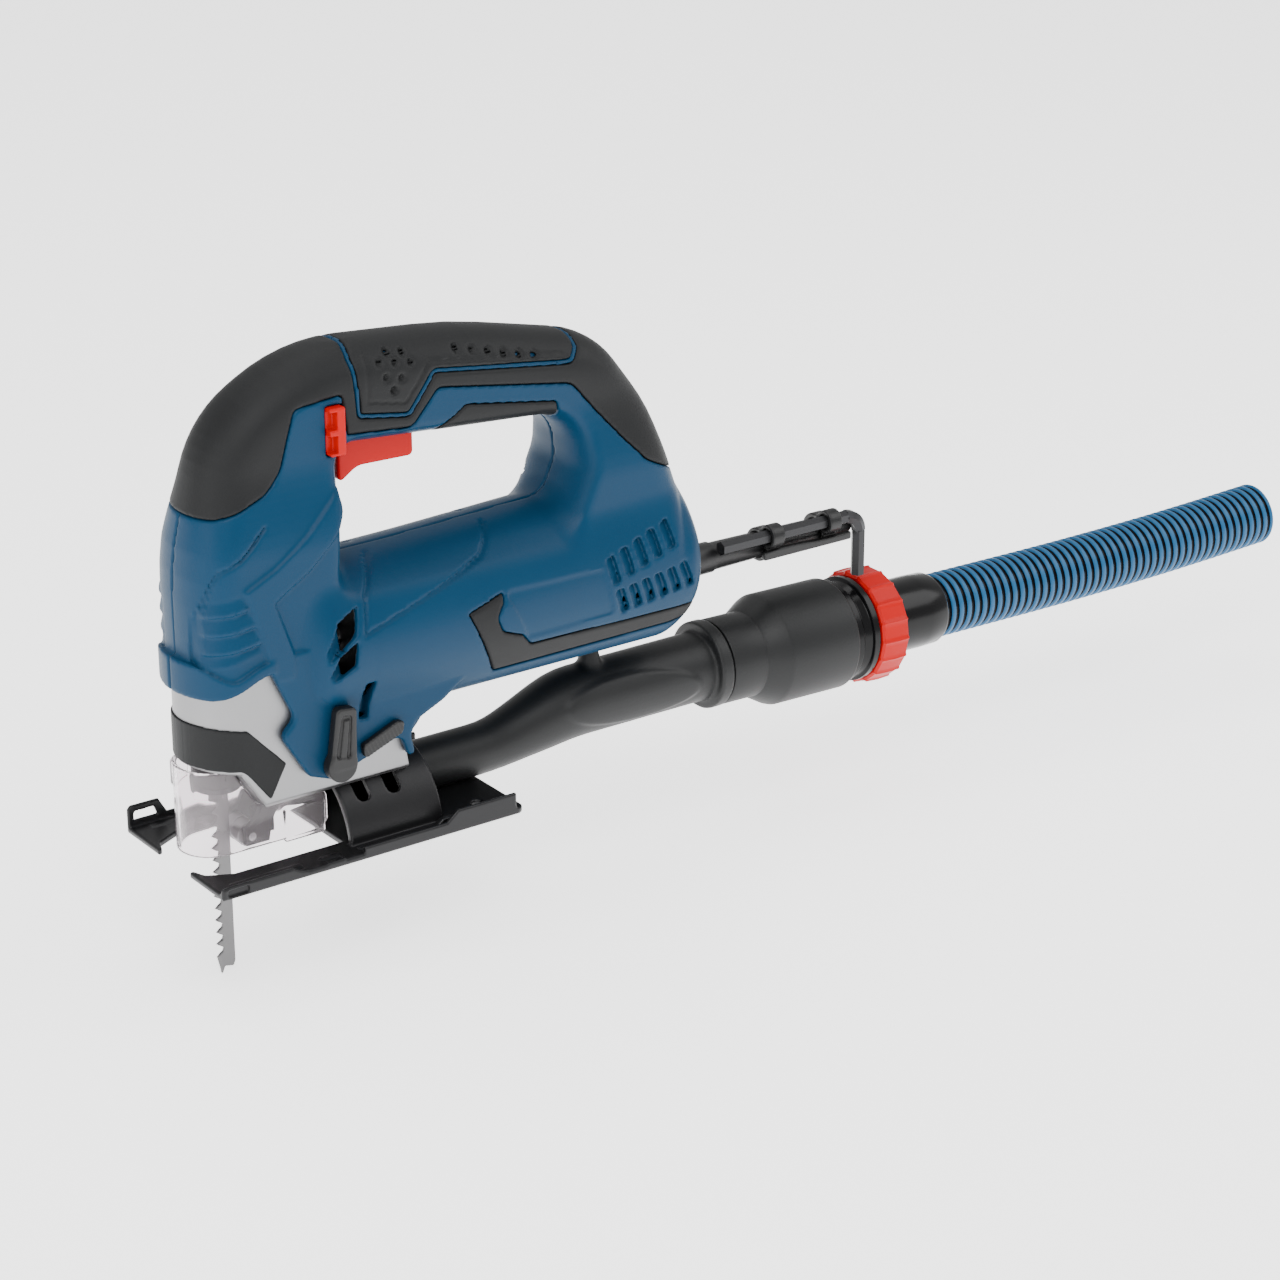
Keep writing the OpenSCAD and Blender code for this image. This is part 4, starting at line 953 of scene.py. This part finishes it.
def make_controls(paint):
    """Trigger, lock button, orbit lever and blower slider."""
    g = Grid((5, -7.2, 133), (38.5, 7.2, 154), 0.4)
    shape = rounded([(5.8, 134, 1.5), (5.8, 153, 0.5), (37.6, 153, 0.5), (37.6, 139, 2),
                     (14, 139.5, 8)])
    field = slab(g, shape, -6.9, 6.9, 1.2)
    field_piece("trigger_red", field, g, paint["red"], "trigger", ["trigger"])

    g = Grid((-6.6, -22, 148.6), (2.2, -14.6, 171.4), 0.35)
    field = block(g, (-4.6, -20.2, 150), (1.8, -14.9, 167.8), 0.7)
    foot = block(g, (-7, -23, 151.2), (-1.6, -16.4, 157.6), 0.3)
    upper = block(g, (-7, -23, 159.8), (-1.6, -16.4, 166.4), 0.3)
    for hollow in (foot, upper):
        field = np.maximum(field, -hollow)
    field_piece("lock_button_red", field, g, paint["red"], "lock_button", ["lock_button"])

    x0 = LEVER_X
    z0 = LEVER_Z
    g = Grid((x0 - 9, -29.6, 28), (x0 + 10, -8, 62), 0.4)
    arm = slab(g, rounded([(x0 - 5.4, z0 - 1, 2), (x0 - 1.9, z0 + 23, 2), (x0 + 6.4, z0 + 22, 2),
                           (x0 + 5.8, z0 - 1, 2)]), -29.3, -25, 0.8)
    hub = rod(g.x - x0, g.z - z0, g.y, 6, -29.3, -24.4, 0.6)
    shaft = rod(g.x - x0, g.z - z0, g.y, 3.9, -25, -9)
    rib = slab(g, [(x0 - 1.6, z0 + 2), (x0 + 0.9, z0 + 18), (x0 + 3.2, z0 + 18), (x0 + 1.4, z0 + 2)],
               -29.3, -28.4, 0.3)
    trough = slab(g, rounded([(x0 - 3, z0 + 4, 1), (x0, z0 + 20, 1), (x0 + 4.2, z0 + 19.4, 1),
                              (x0 + 3, z0 + 3, 1)]), -31, -28.5, 0.4)
    field = np.minimum(np.minimum(np.maximum(join(arm, hub, 1), -trough), rib), shaft)
    field_piece("orbit_lever_black", field, g, paint["black"], "orbit_lever", ["orbit_lever"])

    g = Grid((-1, -28, 34), (20, -24, 48), 0.3)
    shape = rounded([(1, 35, 1.5), (17.5, 41.5, 1.5), (18.6, 46, 1.5), (15, 46.5, 1.5),
                     (0.4, 40.5, 1.5)])
    field = slab(g, shape, -27.2, -24.3, 0.5)
    lengthwise = g.x * 0.93 + g.z * 0.3676
    ridges = 0.35 * np.abs(((lengthwise / 1.5) % 1) * 2 - 1)
    field = field + ridges * smooth_step((-26.4 - g.y) / 0.5)
    field_piece("blower_slider_black", field, g, paint["black"], "blower_slider",
                ["blower_slider"])


def make_blade(paint):
    """T-shank wood blade with deep gullets and set teeth."""
    low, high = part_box("saw_blade")
    tip = low[2] / MM
    top = high[2] / MM
    thick = (high[1] - low[1]) / MM
    back = high[0] / MM
    edge = low[0] / MM
    pitch = 4.9
    toothed_from = 22.5
    teeth = int((24 - tip - 8) / pitch)
    side = [(back, 25, 0), (back - 1.2, 28, 0.5), (back - 1.2, top, 1), (edge + 0.6, top, 1),
            (edge + 0.6, 28, 0.5), (edge, 25, 0.3), (edge, toothed_from, 0.3)]
    for k in range(teeth):
        z = toothed_from - pitch * k
        side += [(edge + 3, z - 1.8, 0.5), (edge + 2.5, z - 3.3, 0.5), (edge, z - pitch + 0.1, 0)]
    side += [(edge + 1.4, tip + 1.8, 0.3), (edge + 1.6, tip, 0.2), (edge + 3, tip + 3.2, 0.5),
             (back - 0.8, tip + 2.4, 0.6), (back, tip + 4.6, 0.6)]
    g = Grid((edge, -thick / 2, tip), (back, thick / 2, top), 0.22)
    field = slab(g, rounded(side), -thick / 2, thick / 2, 0.1)
    # each tooth is set a little to one side
    tooth = np.floor((toothed_from - g.z) / pitch)
    lean = np.where(tooth % 2 == 0, 1, -1) * (g.z < toothed_from)
    relief = 0.5 * smooth_step((edge + 1.8 - g.x) / 1.8)
    field = np.maximum(field, lean * g.y - thick / 2 + relief)
    field_piece("saw_blade_toothed", field, g, paint["blade"], "blade", ["saw_blade"])


def make_sleeve(paint):
    """Cable sleeve and the clips on it that hold the hex key."""
    rear = node_range("cable_sleeve", 0)[1]
    place = Matrix.Translation((0, 0, SLEEVE_Z))
    turned("cable_sleeve_tapered",
           [(143.5, 3.3), (143.5, 7), (151, 7), (151, 6.3), (156, 6.4), (158, 6.4), (177, 6.2),
            (178, 5.6), (rear - 0.6, 4.45), (rear, 3.9), (rear, 3.3)],
           place, paint["black"], "housing", ["cable_sleeve"], sides=64)
    g = Grid((197, -12.5, 59), (244, 7.2, 78), 0.4)
    key_y = -7
    key_z = 72
    field = None
    for x in (201, 230):
        clip = join(rod(g.y, g.z - SLEEVE_Z, g.x, 6.9, x, x + 6, 0.6),
                    rod(g.y - key_y, g.z - key_z, g.x, 4.8, x, x + 6, 0.6), 2)
        field = clip if field is None else np.minimum(field, clip)
    wave = 1.1 * np.sin((g.x - 198) / 45 * 2 * math.pi)
    strap = meet(np.maximum(-9.4 - g.y, g.y + 6.7), np.maximum(62.9 - g.z, g.z - 66.2 - 0.4 * wave), 0.5)
    strap = meet(strap, np.maximum(198.3 - g.x, g.x - 242.7), 0.8)
    field = join(field, strap, 0.8)
    taper = 5.65 - 1.2 * (g.x - 177) / 70
    field = np.maximum(field, taper - np.hypot(g.y, g.z - SLEEVE_Z))
    field = np.maximum(field, 2.96 - np.hypot(g.y - key_y, g.z - key_z))
    field_piece("key_holder_clips", field, g, paint["black"], "housing", ["key_holder"])


# ---- CAD parts that stay -----------------------------------------------------------------

def paint_cad_parts(paint):
    """Materials and small bevels for the CAD parts that are shown as they are."""
    looks = {
        "steel": ["armature", "front_bearing", "drive_gear", "gear_axle", "plunger", "guide_roller",
                  "roller_pin", "tilt_screws", "clamp_washer", "housing_screws"],
        "dark_steel": ["hex_key", "roller_arm", "blade_clamp", "stator"],
        "copper": ["commutator"],
        "bronze": ["lower_bush", "upper_bush", "brush_holders"],
        "carbon": ["carbon_brushes"],
        "black": ["cooling_fan", "switch_module", "rear_bearing", "clamp_ring"],
    }
    for look, names in looks.items():
        for name in names:
            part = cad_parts[name]
            part.data.materials.clear()
            part.data.materials.append(paint[look])
            crisp(part, 0.2)


make_camera()
paint = make_materials()
make_hose(paint)
make_studio()
make_housing(paint)
make_grips(paint)
make_gear_case(paint)
make_front_band(paint)
make_guard(paint)
make_base(paint)
make_duct(paint)
make_adapter_line(paint)
make_controls(paint)
make_blade(paint)
make_sleeve(paint)
paint_cad_parts(paint)
